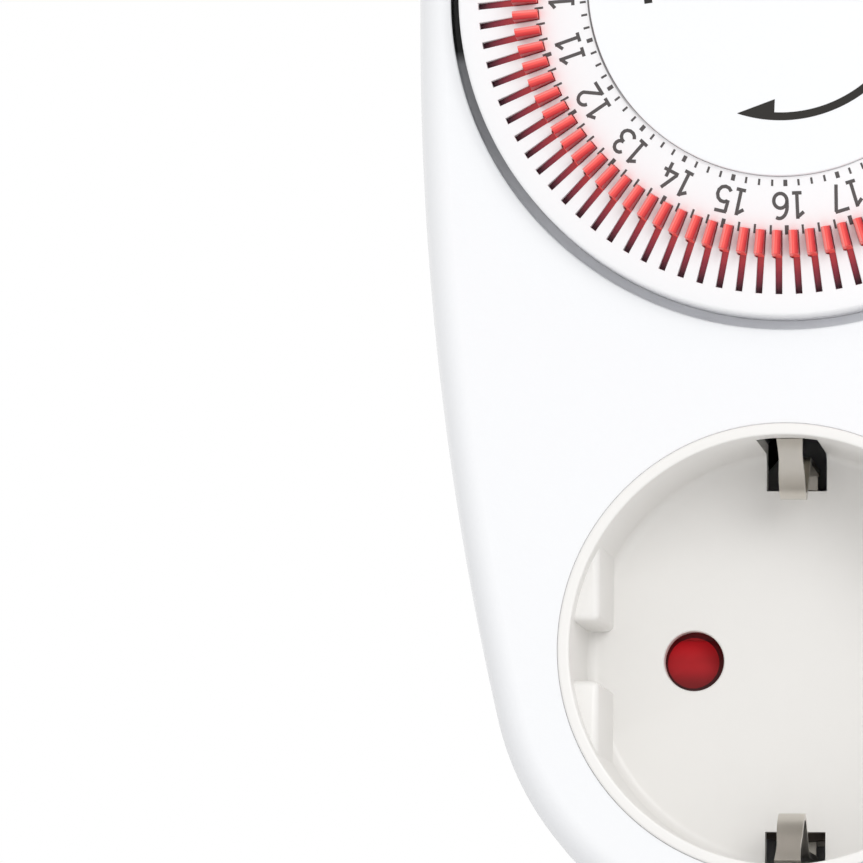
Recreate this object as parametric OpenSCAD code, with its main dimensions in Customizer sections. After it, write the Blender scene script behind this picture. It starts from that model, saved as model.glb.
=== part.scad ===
// Plug-in 24-hour mechanical timer switch with an earthed socket.
// The front is drawn facing the viewer: x runs right, y up and z out of the front.
// upright() then stands the whole assembly up, so that the plug points along +Y.

/* [Housing] */
// Radius of the housing round the dial, at the joint line
body_top_r = 34.9; // [34:0.1:38]
// Radius of the housing round the socket, at the joint line
body_bottom_r = 27.9; // [27:0.1:31]
// Height of the dial's centre above the socket's centre
dial_rise = 60; // [58:0.5:66]
// Depth of the housing from its back to its front face
body_depth = 38; // [37:0.5:42]
// Depth of the front shell
front_shell_depth = 20; // [16:0.5:22]
// Wall thickness of both shells
shell_wall = 2.2; // [1.8:0.1:2.6]
// Rounding of the front edge
front_edge_r = 4; // [2:0.5:5]
// Rounding of the back edge
rear_edge_r = 3; // [1:0.5:4]
// How far the front shell narrows towards the front
shell_draft = 0.8; // [0:0.1:1.2]
// Depth of the lip that joins the shells
lip_h = 2; // [1:0.5:3]

/* [Socket] */
// Spacing of the two live pins
pin_pitch = 19; // [18:0.5:20]
// Radius of a plug pin
pin_r = 2.4; // [2:0.1:2.4]
// Length of a plug pin
pin_len = 19; // [18:0.5:19]
// Radius of a pin hole in the socket's floor
pin_hole_r = 2.8; // [2.6:0.1:3]
// Depth of the socket's recess
recess_depth = 17.5; // [16.5:0.5:18]
// Radius of the recess
recess_r = 19.45; // [19.2:0.05:19.8]
// Wall of the socket insert
insert_wall = 1.1; // [0.9:0.1:1.3]
// Thickness of the socket's floor
socket_floor_t = 2; // [1.5:0.1:2.5]
// Height of the insert's rim above the front face
rim_lift = 0.3; // [0:0.1:1]
// Distance of the guide ribs' faces from the centre
rib_reach = 17; // [16.8:0.1:17.4]
// Gap between the upper and the lower guide rib
rib_gap = 5.4; // [4.8:0.1:6]
// Depth of the ribs' front ends below the rim
rib_drop = 3; // [2:0.5:5]
// Width of the pockets for the earth clips
pocket_w = 5.6; // [5:0.1:7]
// Distance of the pockets' inner edges from the centre
pocket_reach = 15.85; // [15.5:0.05:16.2]
// Width of an earth clip
clip_w = 2.65; // [2:0.05:3.5]
// Thickness of the earth strip
strip_t = 0.6; // [0.4:0.1:0.8]
// Distance of the clips' crests from the centre
clip_crest = 14.3; // [14:0.1:15.2]
// Thickness of the shutter's wings
shutter_t = 1.6; // [1.2:0.1:2]
// Turn of the shutter from shut to open
shutter_turn = 40; // [36:1:44]

/* [Plug] */
// Length of the plug body that enters the wall socket
plug_reach = 18; // [17:0.5:18]
// Radius of the plug body
plug_r = 18.6; // [18:0.1:18.8]
// Distance of the plug body's flat sides from the centre
plug_flat = 16.6; // [16:0.1:16.7]
// Width of the guide tongue on each flat side
tongue_w = 4; // [3:0.5:4.5]
// Wall of the plug body
plug_wall = 2; // [1.5:0.1:2.2]
// Thickness of the plug's end face
plug_face_t = 4; // [3:0.5:5]
// Distance of the side earth contacts' seats from the centre
earth_seat = 15.8; // [15.6:0.1:16.2]
// Width of the side earth contacts
side_contact_w = 5; // [4:0.5:5]

/* [Dial] */
// Radius of the dial
dial_r = 30; // [29:0.1:30.2]
// Gap between the dial and the wall of its well
well_gap = 0.85; // [0.6:0.05:1.3]
// Height of the dial's face above the front, at the outer ends of its slots
dial_lift = 3.35; // [2:0.05:5]
// Slope of the dial's face, in degrees
dial_slope = 15; // [8:0.5:16]
// Thickness of the dial's face
dial_face_t = 2.6; // [2:0.1:3]
// Radius of the fixed hub cap
hub_r = 17.5; // [16:0.1:17.6]
// Radial gap between the hub cap and the dial
hub_gap = 0.2; // [0.15:0.05:0.5]
// Height of the hub cap above the dial's inner edge
hub_rise = 0.6; // [0:0.1:1]
// Radius at which the slots end
slot_out_r = 28; // [27.6:0.1:28.2]
// Radius at which the slots start
slot_in_r = 22.35; // [21.8:0.05:22.6]
// Length of the wide inner stretch of a slot, which takes a segment's head
key_len = 2.4; // [2.1:0.05:2.8]
// Turn of the dial from its nearest hour mark, as it is set
dial_offset = 1.15; // [1:0.05:1.3]

/* [Segments] */
// Hours on the dial
hours = 24; // [24]
// Switching segments in an hour
segments_per_hour = 4; // [2,4]
// Thickness of a segment's blade
blade_t = 0.54; // [0.4:0.02:0.56]
// Thickness of a segment's head
head_t = 0.8; // [0.6:0.02:0.82]
// Side clearance of the segments in their slots
segment_play = 0.06; // [0.04:0.01:0.1]
// Height of a raised head above the dial's face
head_h = 1.2; // [0.8:0.1:1.8]
// How much more it stands above the dial at its outer end
head_rise = 1.2; // [0:0.1:1.6]
// Travel of a segment when it is pressed
press_travel = 2; // [1.6:0.1:2]

/* [Gear train] */
// Teeth of the gear on the dial
dial_teeth = 48; // [48]
// Teeth of each pinion
pinion_teeth = 10; // [10]
// Teeth of the idler's wheel
wheel_teeth = 50; // [50]
// Module of the dial's gear and its pinion
dial_module = 0.8; // [0.78:0.01:0.82]
// Module of the idler's wheel and the motor's pinion
motor_module = 0.6; // [0.58:0.01:0.62]
// Thickness of the dial's gear
dial_gear_t = 3; // [2:0.1:3]
// Backlash of each pair of gears, as a share of the module
backlash = 0.2; // [0.12:0.01:0.3]
// Direction of the motor's shaft from the idler, in degrees
motor_bearing = 60; // [55:1:65]
// Radius of the dial's post
post_r = 5; // [4:0.5:5.5]
// Radius of the idler's axle
idler_axle_r = 1; // [0.8:0.1:1.2]
// Radius of the motor's shaft
motor_shaft_r = 1.5; // [1.2:0.1:1.6]
// Running clearance of shafts, on the radius
run_gap = 0.05; // [0.03:0.01:0.08]
// Radius of the motor's can
motor_r = 17.5; // [15:0.5:18]
// Depth of the motor's can
motor_h = 12; // [9:0.5:13]

/* [Switching] */
// Thickness of the movement plate
plate_t = 2; // [1.5:0.1:2.5]
// Length of the switch along the dial's edge
switch_len = 20; // [18:0.5:20]
// Width of the switch
switch_w = 6.2; // [5.8:0.1:6.4]
// Height of the switch above the plate
switch_h = 7; // [6:0.5:8]
// Height of the free plunger above the switch
plunger_rise = 2.2; // [2:0.1:2.5]
// Thickness of the trip lever
lever_t = 1.5; // [1.2:0.1:1.8]
// Distance from the lever's pivot to its nose
lever_arm = 12; // [11:0.5:12]
// Swing of the lever when a segment is pressed, in degrees
lever_swing = 8.4; // [8:0.1:8.8]
// Travel of the override slide
override_travel = 4; // [3:0.5:5]
// Width of the override slide's thumb piece
thumb_w = 3.6; // [3:0.1:5]

/* [Hidden] */
$fn = 64;
segment_names = [for (h = [0:hours - 1]) str("segments_", h < 10 ? "0" : "", h)];

// colours of the real pieces
shell_white = [0.95, 0.96, 0.98];
socket_white = [0.90, 0.89, 0.86];
segment_red = [0.93, 0.30, 0.28];
shutter_red = [0.62, 0.13, 0.15];
brass = [0.80, 0.66, 0.36];
nickel = [0.75, 0.73, 0.68];
steel = [0.70, 0.71, 0.73];
inner_grey = [0.55, 0.57, 0.60];
lead_brown = [0.40, 0.24, 0.15];

// small gaps and overlaps
eps = 0.01;            // overlap of a cut past a face
bury = 1;              // how far a boss or a lip reaches into the wall that carries it
tight_gap = 0.02;      // gap of pieces that are held tight
seat_gap = 0.05;       // play of pieces that sit in each other
fit_gap = 0.15;        // gap of moulded pieces that pass through a hole
air = 0.3;             // least gap of moving pieces

// levels, from the end face of the plug body at z = 0 to the front
back_z = plug_reach;
front_z = back_z + body_depth;
part_z = front_z - front_shell_depth;
inner_back_z = back_z + shell_wall;
inner_front_z = front_z - shell_wall;
floor_top_z = front_z - recess_depth;
floor_bot_z = floor_top_z - socket_floor_t;

// the side arcs touch the top arc at the dial's height and the bottom arc lower down
side_r = (dial_rise * dial_rise + body_top_r * body_top_r - body_bottom_r * body_bottom_r)
    / (2 * (body_top_r - body_bottom_r));
side_angle = asin(dial_rise / (side_r - body_bottom_r));

// the dial
well_r = dial_r + well_gap;
dial_bore_r = hub_r + hub_gap;
dial_wall_r = dial_bore_r + 1.75;       // outside of the dial's inner wall
dial_skirt_t = 1.2;
dial_skirt_z = front_z - 3.5;           // lower edge of the dial's skirt
dial_edge = 0.5;                        // bevel of the dial's rim
collar_t = 1.4;                         // wall of the dial's well
ledge_drop = 0.7;
ledge_z = dial_skirt_z - ledge_drop;    // floor of the groove round the dial
ledge_t = 1;
ledge_r = dial_r - dial_skirt_t + air;
flange_top_z = front_z - 2;             // the dial's inner wall stands on the gear's flange here
flange_t = 2.5;
slot_w = blade_t + 2 * segment_play;
key_w = head_t + 2 * segment_play;
segment_count = hours * segments_per_hour;
segment_pitch = 360 / segment_count;
hub_top_z = face_z(dial_bore_r) + hub_rise;

// the movement, stacked downwards from the segments' feet
foot_up_z = front_z - 5;
foot_down_z = foot_up_z - press_travel;
lever_top_z = foot_down_z - air;
lever_bot_z = lever_top_z - lever_t;
switch_top_z = lever_bot_z - plunger_rise;
plate_top_z = switch_top_z - switch_h;
plate_bot_z = plate_top_z - plate_t;
nose_tip = [-0.7, 0.5];                 // the nose's flat end, along the lever
nose_top_z = foot_down_z - 0.1 + (lever_arm + nose_tip[0]) * sin(lever_swing);
foot_r = 25.3;                          // radius on which the segments' feet run
foot_len = 2;

// the gears
dial_gear_top_z = switch_top_z + 1.5;
dial_gear_bot_z = dial_gear_top_z - dial_gear_t;
wheel_bot_z = plate_top_z + 1.5;
wheel_t = 2.8;
idler_drop = dial_module * (dial_teeth + pinion_teeth) / 2;
idler_at = [0, dial_rise - idler_drop];
motor_reach = motor_module * (wheel_teeth + pinion_teeth) / 2;
motor_at = idler_at + motor_reach * [cos(motor_bearing), sin(motor_bearing)];
wheel_head = 0.85;                      // height of a wheel's teeth above the pitch circle, in modules
pinion_head = 0.9;                      // the same of a pinion's teeth
gear_foot = 1.3;                        // depth of a tooth's root below the pitch circle, in modules
pinion_over = 0.4;                      // how far the motor's pinion stands past the wheel it drives
gear_hub_r = post_r + 2;
gear_hub_top_z = flange_top_z + 4;
post_neck_r = post_r - 2;
neck_cover = 1;                         // plastic left in the cap above the post's neck

// the movement plate
plate_r = body_top_r - shell_wall - 1.7;
plate_screw_r = plate_r - 2.5;
plate_screw_angles = [60, 170, 250];
boss_r = 2.6;
screw_r = 1.1;
screw_gap = 0.2;                        // clearance of a screw in a hole that it passes through
screw_hole_depth = 8;
housing_screw_bite = 7;
plate_screw_bite = 6;
screw_head_r = 2.2;
screw_head_h = 1.1;
screw_cross = 0.6 * screw_head_r;       // half the length of the cross recess
screw_cross_w = 0.5;

// the switch and its lever
switch_in_x = 22.6;
switch_low_y = dial_rise - switch_len / 2 + 0.5;
lever_x = [23, 26.6];
pivot_y = dial_rise - lever_arm;
pivot_r = 0.75;
pivot_boss_r = 1.3;
pivot_z = lever_top_z - pivot_boss_r;
plunger_y = pivot_y + 8;
plunger_r = 0.9;
ear_t = 1;
lever_play = 0.4;                       // room between the lever and the ears of its pivot
terminal_t = 0.8;
terminal_w = 3;
terminal_room = 1.2;                    // room beside the terminals in the plate
terminal_pitch = 7;
terminal_x = switch_in_x + 5;
terminal_ys = [for (i = [-1:1]) dial_rise + terminal_pitch * i];
terminal_end_z = plate_bot_z - 3;

// the housing screws
waist_screw = [26.5, 22];
housing_boss_r = 2.35;
bottom_screw = [0, -(body_bottom_r - shell_wall - seat_gap - housing_boss_r - 0.1)];
housing_screws_at = [waist_screw, [-waist_screw.x, waist_screw.y], bottom_screw];

// the socket
insert_r = recess_r + insert_wall;
insert_hole_r = insert_r + fit_gap;
insert_flange_t = 0.8;
insert_flange_r = insert_r + 1.8;
rim_round = insert_wall / 2;
rim_z = front_z + rim_lift;
pocket_top_z = inner_front_z - insert_flange_t;
shutter_post_r = 2.5;
shutter_post_over = 0.2;                // how far the post stands past the shutter
shutter_top_z = floor_bot_z - air;
shutter_ramp_h = 1.6;
shutter_hub_r = shutter_post_r + 1.7;
shutter_bot_z = shutter_top_z - shutter_t - shutter_ramp_h;
wing_r = pin_pitch / 2 + pin_hole_r + 0.7;
wing_half = shutter_turn / 2 - 0.5;
carrier_top_z = shutter_bot_z - 0.5;
carrier_t = 2;
carrier_bot_z = carrier_top_z - carrier_t;
carrier_r = 16.5;
carrier_hole_r = pin_r + 0.5;
carrier_boss = [11, 110];               // radius and direction of the carrier's bosses
carrier_boss_r = 2;
sleeve_r = pin_r + 0.7;
sleeve_flange_t = 0.9;
slit_w = 0.6;                           // slit that lets the sleeve's two halves spring
sleeve_tail_r = 1;
sleeve_tail_end = 7;                    // how far a sleeve's tail reaches from its axis
sleeve_flange_r = sleeve_r + 1;
pin_tip_z = floor_top_z - pin_len;
sleeve_bot_z = pin_tip_z + 1;
contact_end_z = sleeve_bot_z - 1.5;
pin_head_t = 1;
pin_head_r = 3.5;
pin_tail_r = 1.5;
pin_neck_r = pin_r - 0.3;               // the part of a pin in the plug's face
plug_flange_r = plug_r + 1.2;
plug_flange_z = inner_back_z + 0.75;
pin_tail_z = plug_face_t + pin_head_t + 7;
clip_leg_y = 18;                        // inner face of the earth clips' legs
clip_foot_z = carrier_bot_z - 3.1;
clip_bend_z = floor_top_z + 1.5;
clip_tip_z = pocket_top_z - 0.7;
strap_z = plug_flange_z + seat_gap;
rivet_r = 1;                            // the rivet's ends, in both strips
rivet_body_r = 2;
rivet_head_r = 1.8;
rivet_head_h = 0.7;
clip_bulge = 1.4;                       // how narrow the earth clips' crests are
earth_slot_gap = 0.1;
notch_play = 0.2;                       // room beside an earth contact in its notch
tongue_taper = 0.4;                     // how much of an inset the guide tongues take
side_contact_z = 1.5;

// the override slide, on the right-hand side
override_y = 40;
override_z = switch_top_z - 1;
thumb_h = 8;
thumb_lift = 1.2;
window_play = 0.3;
side_x = side_r - body_top_r;           // how far the side arcs' centres lie beyond the middle
override_wall_x = wall_x(override_y);
lip_inset = shell_wall / 2;             // the half of the wall that the lip takes
top_steps = 36;
side_steps = 5;
bottom_steps = 26;

// the leads' routes: points by the plug are drawn from its face, the others from the front,
// over the socket's centre or over the dial's
function from_socket(points) = [for (p = points) p + [0, 0, front_z]];
function from_dial(points) = [for (p = points) p + [0, dial_rise, front_z]];
live_route = concat(
    [[-9.5, 0, 12.1], [-9.5, 0, 13], [-9.6, 0.2, 14.2], [-11, 1.5, 16.5]],
    from_socket(
        [[-12.5, 5, -36.5], [-13, 10, -33.5], [-11, 18, -32]]),
    from_dial(
        [[-6, -35, -31], [2, -31, -30], [12, -30, -29], [20, -28.5, -28], [26, -25, -27],
         [29, -18, -26.5], [29, -12, -26], [27.9, -8.2, -25], [27.6, -7.8, -24],
         [27.6, -7.8, -23.1]]));
switched_route = concat(
    from_socket(
        [[-9.5, 7.1, -35.5], [-9.5, 8, -35.5], [-9.4, 10, -35.2], [-7, 16, -33.5], [-2, 22, -32.5]]),
    from_dial(
        [[6, -34, -32], [16, -32.5, -31], [24, -28, -30.5], [29, -21, -29], [30.3, -12, -28],
         [30, -4, -27], [28.5, 3, -26], [27.7, 6.4, -25], [27.6, 6.8, -24], [27.6, 6.8, -23.1]]));
motor_neutral_route = concat(
    from_socket(
        [[9.5, 7.1, -35.5], [9.5, 8, -35.5], [9.4, 10, -35], [9.2, 13, -33.7], [8.5, 18, -32.5]]),
    from_dial(
        [[6, -34, -28], [5.5, -29, -26], [5.5, -26, -26], [5.5, -24.95, -26]]));
motor_live_route = from_dial(
    [[16, -24, -24], [16, -24.8, -24], [17, -26.4, -23.8], [20, -27, -23.4], [24.5, -24.5, -23],
     [27.6, -19, -22.2], [29.8, -13, -21.8], [30.6, -9, -21.5], [30, -7, -21.5],
     [28.8, -6.9, -21.5], [28.1, -6.9, -21.5]]);
lead_r = 0.9;
motor_lead_r = 0.6;

// Height of the dial's sloping face at radius r
function face_z(r) = front_z + dial_lift + (slot_out_r - r) * tan(dial_slope);

// Half the housing's width at height y, beside the dial and the waist
function wall_x(y) = sqrt(side_r * side_r - pow(dial_rise - y, 2)) - side_x;

// A point of the housing's rounded front edge: how far in, and how high
function front_edge(steps) = [for (i = [0:steps]) let (a = 90 * i / steps)
    [shell_draft + front_edge_r * (1 - cos(a)), front_z - front_edge_r * (1 - sin(a))]];

// The same for the back edge
function rear_edge(steps) = [for (i = [0:steps]) let (a = 90 * i / steps)
    [rear_edge_r * (1 - sin(a)), back_z + rear_edge_r * (1 - cos(a))]];

// Half the width of a gear's tooth at radius r, in degrees
pressure_angle = 20;
function involute(a) = tan(a) * 180 / PI - a;
function tooth_half(r, teeth, base_r, half_pitch) =
    half_pitch + involute(pressure_angle) - involute(acos(min(1, base_r / max(r, base_r))));

// The outline of a gear, with a tooth on the x axis
function gear_points(teeth, m, head, foot) =
    let (pitch_r = m * teeth / 2,
        base_r = pitch_r * cos(pressure_angle),
        half_pitch = 90 / teeth - backlash * m / 4 / pitch_r * 180 / PI,
        root_r = pitch_r - foot * m,
        tip_r = pitch_r + head * m,
        radii = [root_r, max(base_r, root_r + 0.1 * m), pitch_r, (pitch_r + tip_r) / 2, tip_r],
        count = len(radii))
    [for (t = [0:teeth - 1]) for (k = [0:2 * count - 1])
        let (up = k < count,
            r = radii[up ? k : 2 * count - 1 - k],
            a = 360 * t / teeth + (up ? -1 : 1) * tooth_half(r, teeth, base_r, half_pitch))
        r * [cos(a), sin(a)]];

// A smooth curve through the points of a route
function curve_point(p0, p1, p2, p3, t) = 0.5 * (2 * p1 + (p2 - p0) * t
    + (2 * p0 - 5 * p1 + 4 * p2 - p3) * t * t + (3 * p1 - p0 - 3 * p2 + p3) * t * t * t);
function smooth_route(p, steps) = let (n = len(p) - 1)
    [for (i = [0:n - 1]) for (k = [0:steps - (i == n - 1 ? 0 : 1)])
        curve_point(p[max(i - 1, 0)], p[i], p[i + 1], p[min(i + 2, n)], k / steps)];

// Points of a helix along z
function helix(r, height, turns, steps) = [for (i = [0:turns * steps])
    [r * cos(360 * i / steps), r * sin(360 * i / steps), height * i / turns / steps]];

// Stands the part up: the front faces -Y and the plug points along +Y
module upright() rotate([90, 0, 0]) children();

// Moves a piece to the dial's centre
module at_dial() translate([0, dial_rise, 0]) children();

module at_each(places) for (p = places) translate([p.x, p.y, 0]) children();

module rod(r, z0, z1) translate([0, 0, z0]) cylinder(r = r, h = z1 - z0);

module bar(x0, x1, y0, y1, z0, z1) translate([x0, y0, z0]) cube([x1 - x0, y1 - y0, z1 - z0]);

module both_sides() {
    children();
    mirror([1, 0, 0]) children();
}

module top_and_bottom() {
    children();
    mirror([0, 1, 0]) children();
}

// A round wire along a path, closed at both ends
module wire(path, r, sides) {
    n = len(path);
    function along(i) = let (d = path[min(i + 1, n - 1)] - path[max(i - 1, 0)]) d / norm(d);
    function side(i) = let (t = along(i), ref = abs(t.z) > 0.9 ? [1, 0, 0] : [0, 0, 1],
        s = cross(t, ref)) s / norm(s);
    rings = [for (i = [0:n - 1]) let (t = along(i), u = i == 0 ? side(0) : carried(path, i, side(0)),
        v = cross(t, u)) for (k = [0:sides - 1])
        path[i] + r * (u * cos(360 * k / sides) + v * sin(360 * k / sides))];
    skin = [for (i = [0:n - 2]) for (k = [0:sides - 1]) let (j = (k + 1) % sides)
        [i * sides + k, (i + 1) * sides + k, (i + 1) * sides + j, i * sides + j]];
    ends = [[for (k = [0:sides - 1]) k], [for (k = [0:sides - 1]) n * sides - 1 - k]];
    polyhedron(rings, concat(skin, ends), convexity = 4);
}

// The side direction at point i, carried along the path from its start without twisting
function carried(path, i, u, k = 1) = let (n = len(path),
        d = path[min(k + 1, n - 1)] - path[k - 1], t = d / norm(d),
        w = u - (u * t) * t, next = w / norm(w))
    k >= i ? next : carried(path, i, next, k + 1);

// The housing's outline, at a distance inside it: the top arc, a side, the bottom arc and a side
function outline(inset) = concat(
    [for (i = [0:top_steps]) let (a = 180 * i / top_steps)
        [0, dial_rise] + (body_top_r - inset) * [cos(a), sin(a)]],
    [for (i = [1:side_steps]) let (a = 180 + side_angle * i / side_steps)
        [side_x, dial_rise] + (side_r - inset) * [cos(a), sin(a)]],
    [for (i = [1:bottom_steps]) let (a = 180 + side_angle + (180 - 2 * side_angle) * i / bottom_steps)
        (body_bottom_r - inset) * [cos(a), sin(a)]],
    [for (i = [1:side_steps - 1]) let (a = side_angle * (i / side_steps - 1))
        [-side_x, dial_rise] + (side_r - inset) * [cos(a), sin(a)]]);

// A straight block with the housing's outline
module pod_block(inset, z0, z1) translate([0, 0, z0]) linear_extrude(z1 - z0)
    polygon(outline(inset));

// The housing's form. Each point of the profile says how far inside the outline it lies, and its z.
module pod(profile) {
    rings = [for (p = profile) for (q = outline(p.x)) [q.x, q.y, p.y]];
    n = len(outline(0));
    m = len(profile);
    skin = [for (i = [0:m - 2]) for (k = [0:n - 1]) let (j = (k + 1) % n)
        [i * n + k, (i + 1) * n + k, (i + 1) * n + j, i * n + j]];
    ends = [[for (k = [0:n - 1]) k], [for (k = [0:n - 1]) m * n - 1 - k]];
    polyhedron(rings, concat(skin, ends), convexity = 4);
}

// The outline of the plug body, at a distance inside it
module plug_outline(inset) {
    difference() {
        union() {
            intersection() {
                circle(r = plug_r - inset);
                square(2 * [plug_flat - inset, plug_r], center = true);
            }
            intersection() {
                circle(r = plug_r - inset);
                square([2 * plug_r, tongue_w - 2 * inset * tongue_taper], center = true);
            }
        }
        top_and_bottom() translate([-side_contact_w / 2 - notch_play - inset, earth_seat - inset])
            square([side_contact_w + 2 * (notch_play + inset), plug_r]);
    }
}

module front_housing() color(shell_white) upright() {
    difference() {
        pod(concat([[0, part_z]], front_edge(6)));
        pod_block(shell_wall, part_z - eps, inner_front_z);
        pod_block(lip_inset, part_z - eps, part_z + lip_h);
        at_dial() rod(well_r, inner_front_z - eps, front_z + eps);
        rod(insert_hole_r, inner_front_z - eps, front_z + eps);
        override_window();
    }
    difference() {
        at_dial() rod(well_r + collar_t, ledge_z - ledge_t, inner_front_z + bury);
        at_dial() rod(well_r, ledge_z, front_z);
        at_dial() rod(ledge_r, ledge_z - ledge_t - eps, front_z);
    }
    difference() {
        at_each(housing_screws_at) rod(housing_boss_r, part_z, inner_front_z + bury);
        at_each(housing_screws_at) rod(screw_r, part_z - eps, part_z + screw_hole_depth);
    }
}

module override_window() {
    x = override_wall_x;
    y = thumb_h / 2 + override_travel / 2 + window_play;
    z = thumb_w / 2 + window_play;
    bar(x - 2 * shell_wall, x + 2 * thumb_lift, override_y - y, override_y + y, override_z - z,
        override_z + z);
}

module rear_housing() color(shell_white) upright() {
    difference() {
        pod(concat(rear_edge(5), [[0, part_z]]));
        pod_block(shell_wall, inner_back_z, part_z + eps);
        translate([0, 0, back_z - eps]) linear_extrude(shell_wall + 2 * eps)
            plug_outline(-seat_gap);
        earth_slots(back_z - eps);
        at_each(housing_screws_at) rod(screw_r + screw_gap, back_z - eps, inner_back_z + eps);
        at_each(housing_screws_at) rod(screw_head_r + screw_gap, back_z - eps, back_z + screw_head_h);
    }
    difference() {
        pod_block(lip_inset + seat_gap, part_z - bury, part_z + lip_h - seat_gap);
        pod_block(shell_wall, part_z - bury - eps, part_z + lip_h);
        override_window();
    }
    difference() {
        at_each(housing_screws_at) rod(housing_boss_r, inner_back_z - bury, part_z);
        at_each(housing_screws_at) rod(screw_r + screw_gap, back_z, part_z + eps);
    }
    at_dial() difference() {
        at_plate_screws() rod(boss_r, inner_back_z - bury, plate_bot_z);
        at_plate_screws() rod(screw_r, plate_bot_z - screw_hole_depth, plate_bot_z + eps);
    }
}

module at_plate_screws() for (a = plate_screw_angles)
    translate(plate_screw_r * [cos(a), sin(a)]) children();

module socket_insert() color(socket_white) upright() {
    difference() {
        union() {
            difference() {
                rotate_extrude() polygon(insert_section());
                pin_holes(floor_bot_z - eps, floor_top_z + eps, pin_hole_r);
            }
            ribs();
        }
        top_and_bottom() bar(-pocket_w / 2, pocket_w / 2, pocket_reach, insert_flange_r + 1,
            floor_bot_z - eps, pocket_top_z);
        at_each(housing_screws_at) rod(housing_boss_r + 2 * seat_gap, pocket_top_z - bury,
            inner_front_z + eps);
    }
    rod(shutter_post_r, shutter_bot_z - shutter_post_over, floor_bot_z + socket_floor_t / 2);
    for (turn = [0, 180]) rotate([0, 0, carrier_boss.y + turn]) translate([carrier_boss.x, 0, 0])
        rod(carrier_boss_r, carrier_top_z, floor_bot_z + socket_floor_t / 2);
}

// Half of the insert's section: floor, wall, flange and the rounded rim
function insert_section() = concat(
    [[0, floor_bot_z], [insert_r, floor_bot_z], [insert_r, pocket_top_z],
        [insert_flange_r, pocket_top_z], [insert_flange_r, inner_front_z], [insert_r, inner_front_z]],
    [for (i = [0:6]) let (a = 180 * i / 6)
        [recess_r + rim_round * (1 + cos(a)), rim_z - rim_round * (1 - sin(a))]],
    [[recess_r, floor_top_z], [0, floor_top_z]]);

module pin_holes(z0, z1, r) for (x = [-1, 1]) translate([x * pin_pitch / 2, 0, 0]) rod(r, z0, z1);

// Four ribs guide the plug at its flat sides
module ribs() intersection() {
    rod(recess_r + insert_wall / 2, floor_top_z - eps, rim_z - rib_drop);
    both_sides() top_and_bottom()
        bar(rib_reach, insert_r, rib_gap / 2, insert_r, floor_top_z - eps, rim_z - rib_drop);
}

module hub_cap() color(shell_white) upright() at_dial() {
    cap_t = 1.8;
    skirt_t = 1.2;
    skirt_z = flange_top_z + 2;
    socket_r = gear_hub_r - 1;
    difference() {
        rod(hub_r, skirt_z, hub_top_z);
        difference() {
            rod(hub_r - skirt_t, skirt_z - eps, hub_top_z - cap_t);
            rod(socket_r, gear_hub_top_z + air, hub_top_z);
        }
        rod(post_neck_r + seat_gap, gear_hub_top_z, hub_top_z - neck_cover);
    }
}

module movement_plate() color(inner_grey) upright() {
    difference() {
        at_dial() rod(plate_r, plate_bot_z, plate_top_z);
        at_dial() at_plate_screws() rod(screw_r + screw_gap, plate_bot_z - eps, plate_top_z + eps);
        translate(idler_at) rod(idler_axle_r, plate_bot_z - eps, plate_top_z + eps);
        translate(motor_at) rod(motor_boss_r + 2 * seat_gap, plate_bot_z - eps, plate_top_z + eps);
        bar(terminal_x - terminal_room, plate_r + 1, switch_low_y + 1, switch_low_y + switch_len - 1,
            plate_bot_z - eps, plate_top_z + eps);
    }
    at_dial() {
        rod(post_r, plate_top_z, gear_hub_top_z);
        rod(post_neck_r, gear_hub_top_z, hub_top_z - neck_cover - 2 * seat_gap);
    }
    difference() {
        for (x = ear_xs) pivot_ear(x);
        pivot_hole(pivot_r);
    }
}

ear_xs = [lever_x[0] - lever_play - ear_t, lever_x[1] + lever_play];
motor_boss_r = 4;
motor_boss_over = 0.6;
shaft_depth = 3.8;                      // how far the motor's shaft reaches into the can

// An ear on the plate that carries the lever's pivot
module pivot_ear(x) {
    bar(x, x + ear_t, pivot_y - pivot_boss_r, pivot_y + pivot_boss_r, plate_top_z, pivot_z);
    translate([x, pivot_y, pivot_z]) rotate([0, 90, 0]) cylinder(r = pivot_boss_r, h = ear_t);
}

module pivot_hole(r) translate([ear_xs[0] - eps, pivot_y, pivot_z]) rotate([0, 90, 0])
    cylinder(r = r, h = ear_xs[1] - ear_xs[0] + ear_t + 2 * eps);

module housing_screws() color(steel) upright() at_each(housing_screws_at)
    pan_screw(back_z + screw_head_h, part_z + housing_screw_bite);

module plate_screws() color(steel) upright() at_dial() at_plate_screws() mirror([0, 0, 1])
    pan_screw(-plate_top_z, plate_screw_bite - plate_bot_z);

// A screw that points along +z, with its head below z0 and a cross recess
module pan_screw(z0, z1) {
    difference() {
        rod(screw_head_r, z0 - screw_head_h, z0);
        for (turn = [0, 90]) rotate([0, 0, turn])
            bar(-screw_cross, screw_cross, -screw_cross_w / 2, screw_cross_w / 2,
                z0 - screw_head_h - eps, z0 - screw_head_h / 2);
    }
    rod(screw_r - tight_gap, z0, z1);
}

// The plug: a cup with a bevelled end face, held in the back wall by its flange
module plug_body() color(shell_white) upright() {
    bevel = 1;
    steps = [[bevel, 0, bevel / 2], [bevel / 2, bevel / 2, bevel], [0, bevel, plug_flange_z]];
    difference() {
        union() {
            for (s = steps) translate([0, 0, s[1]]) linear_extrude(s[2] - s[1] + eps)
                plug_outline(s[0]);
            rod(plug_flange_r, inner_back_z + seat_gap, plug_flange_z);
        }
        translate([0, 0, plug_face_t]) linear_extrude(back_z + 2 * plug_face_t)
            plug_outline(plug_wall);
        pin_holes(-eps, plug_face_t + eps, pin_neck_r + tight_gap);
        earth_slots(inner_back_z);
    }
}

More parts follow.
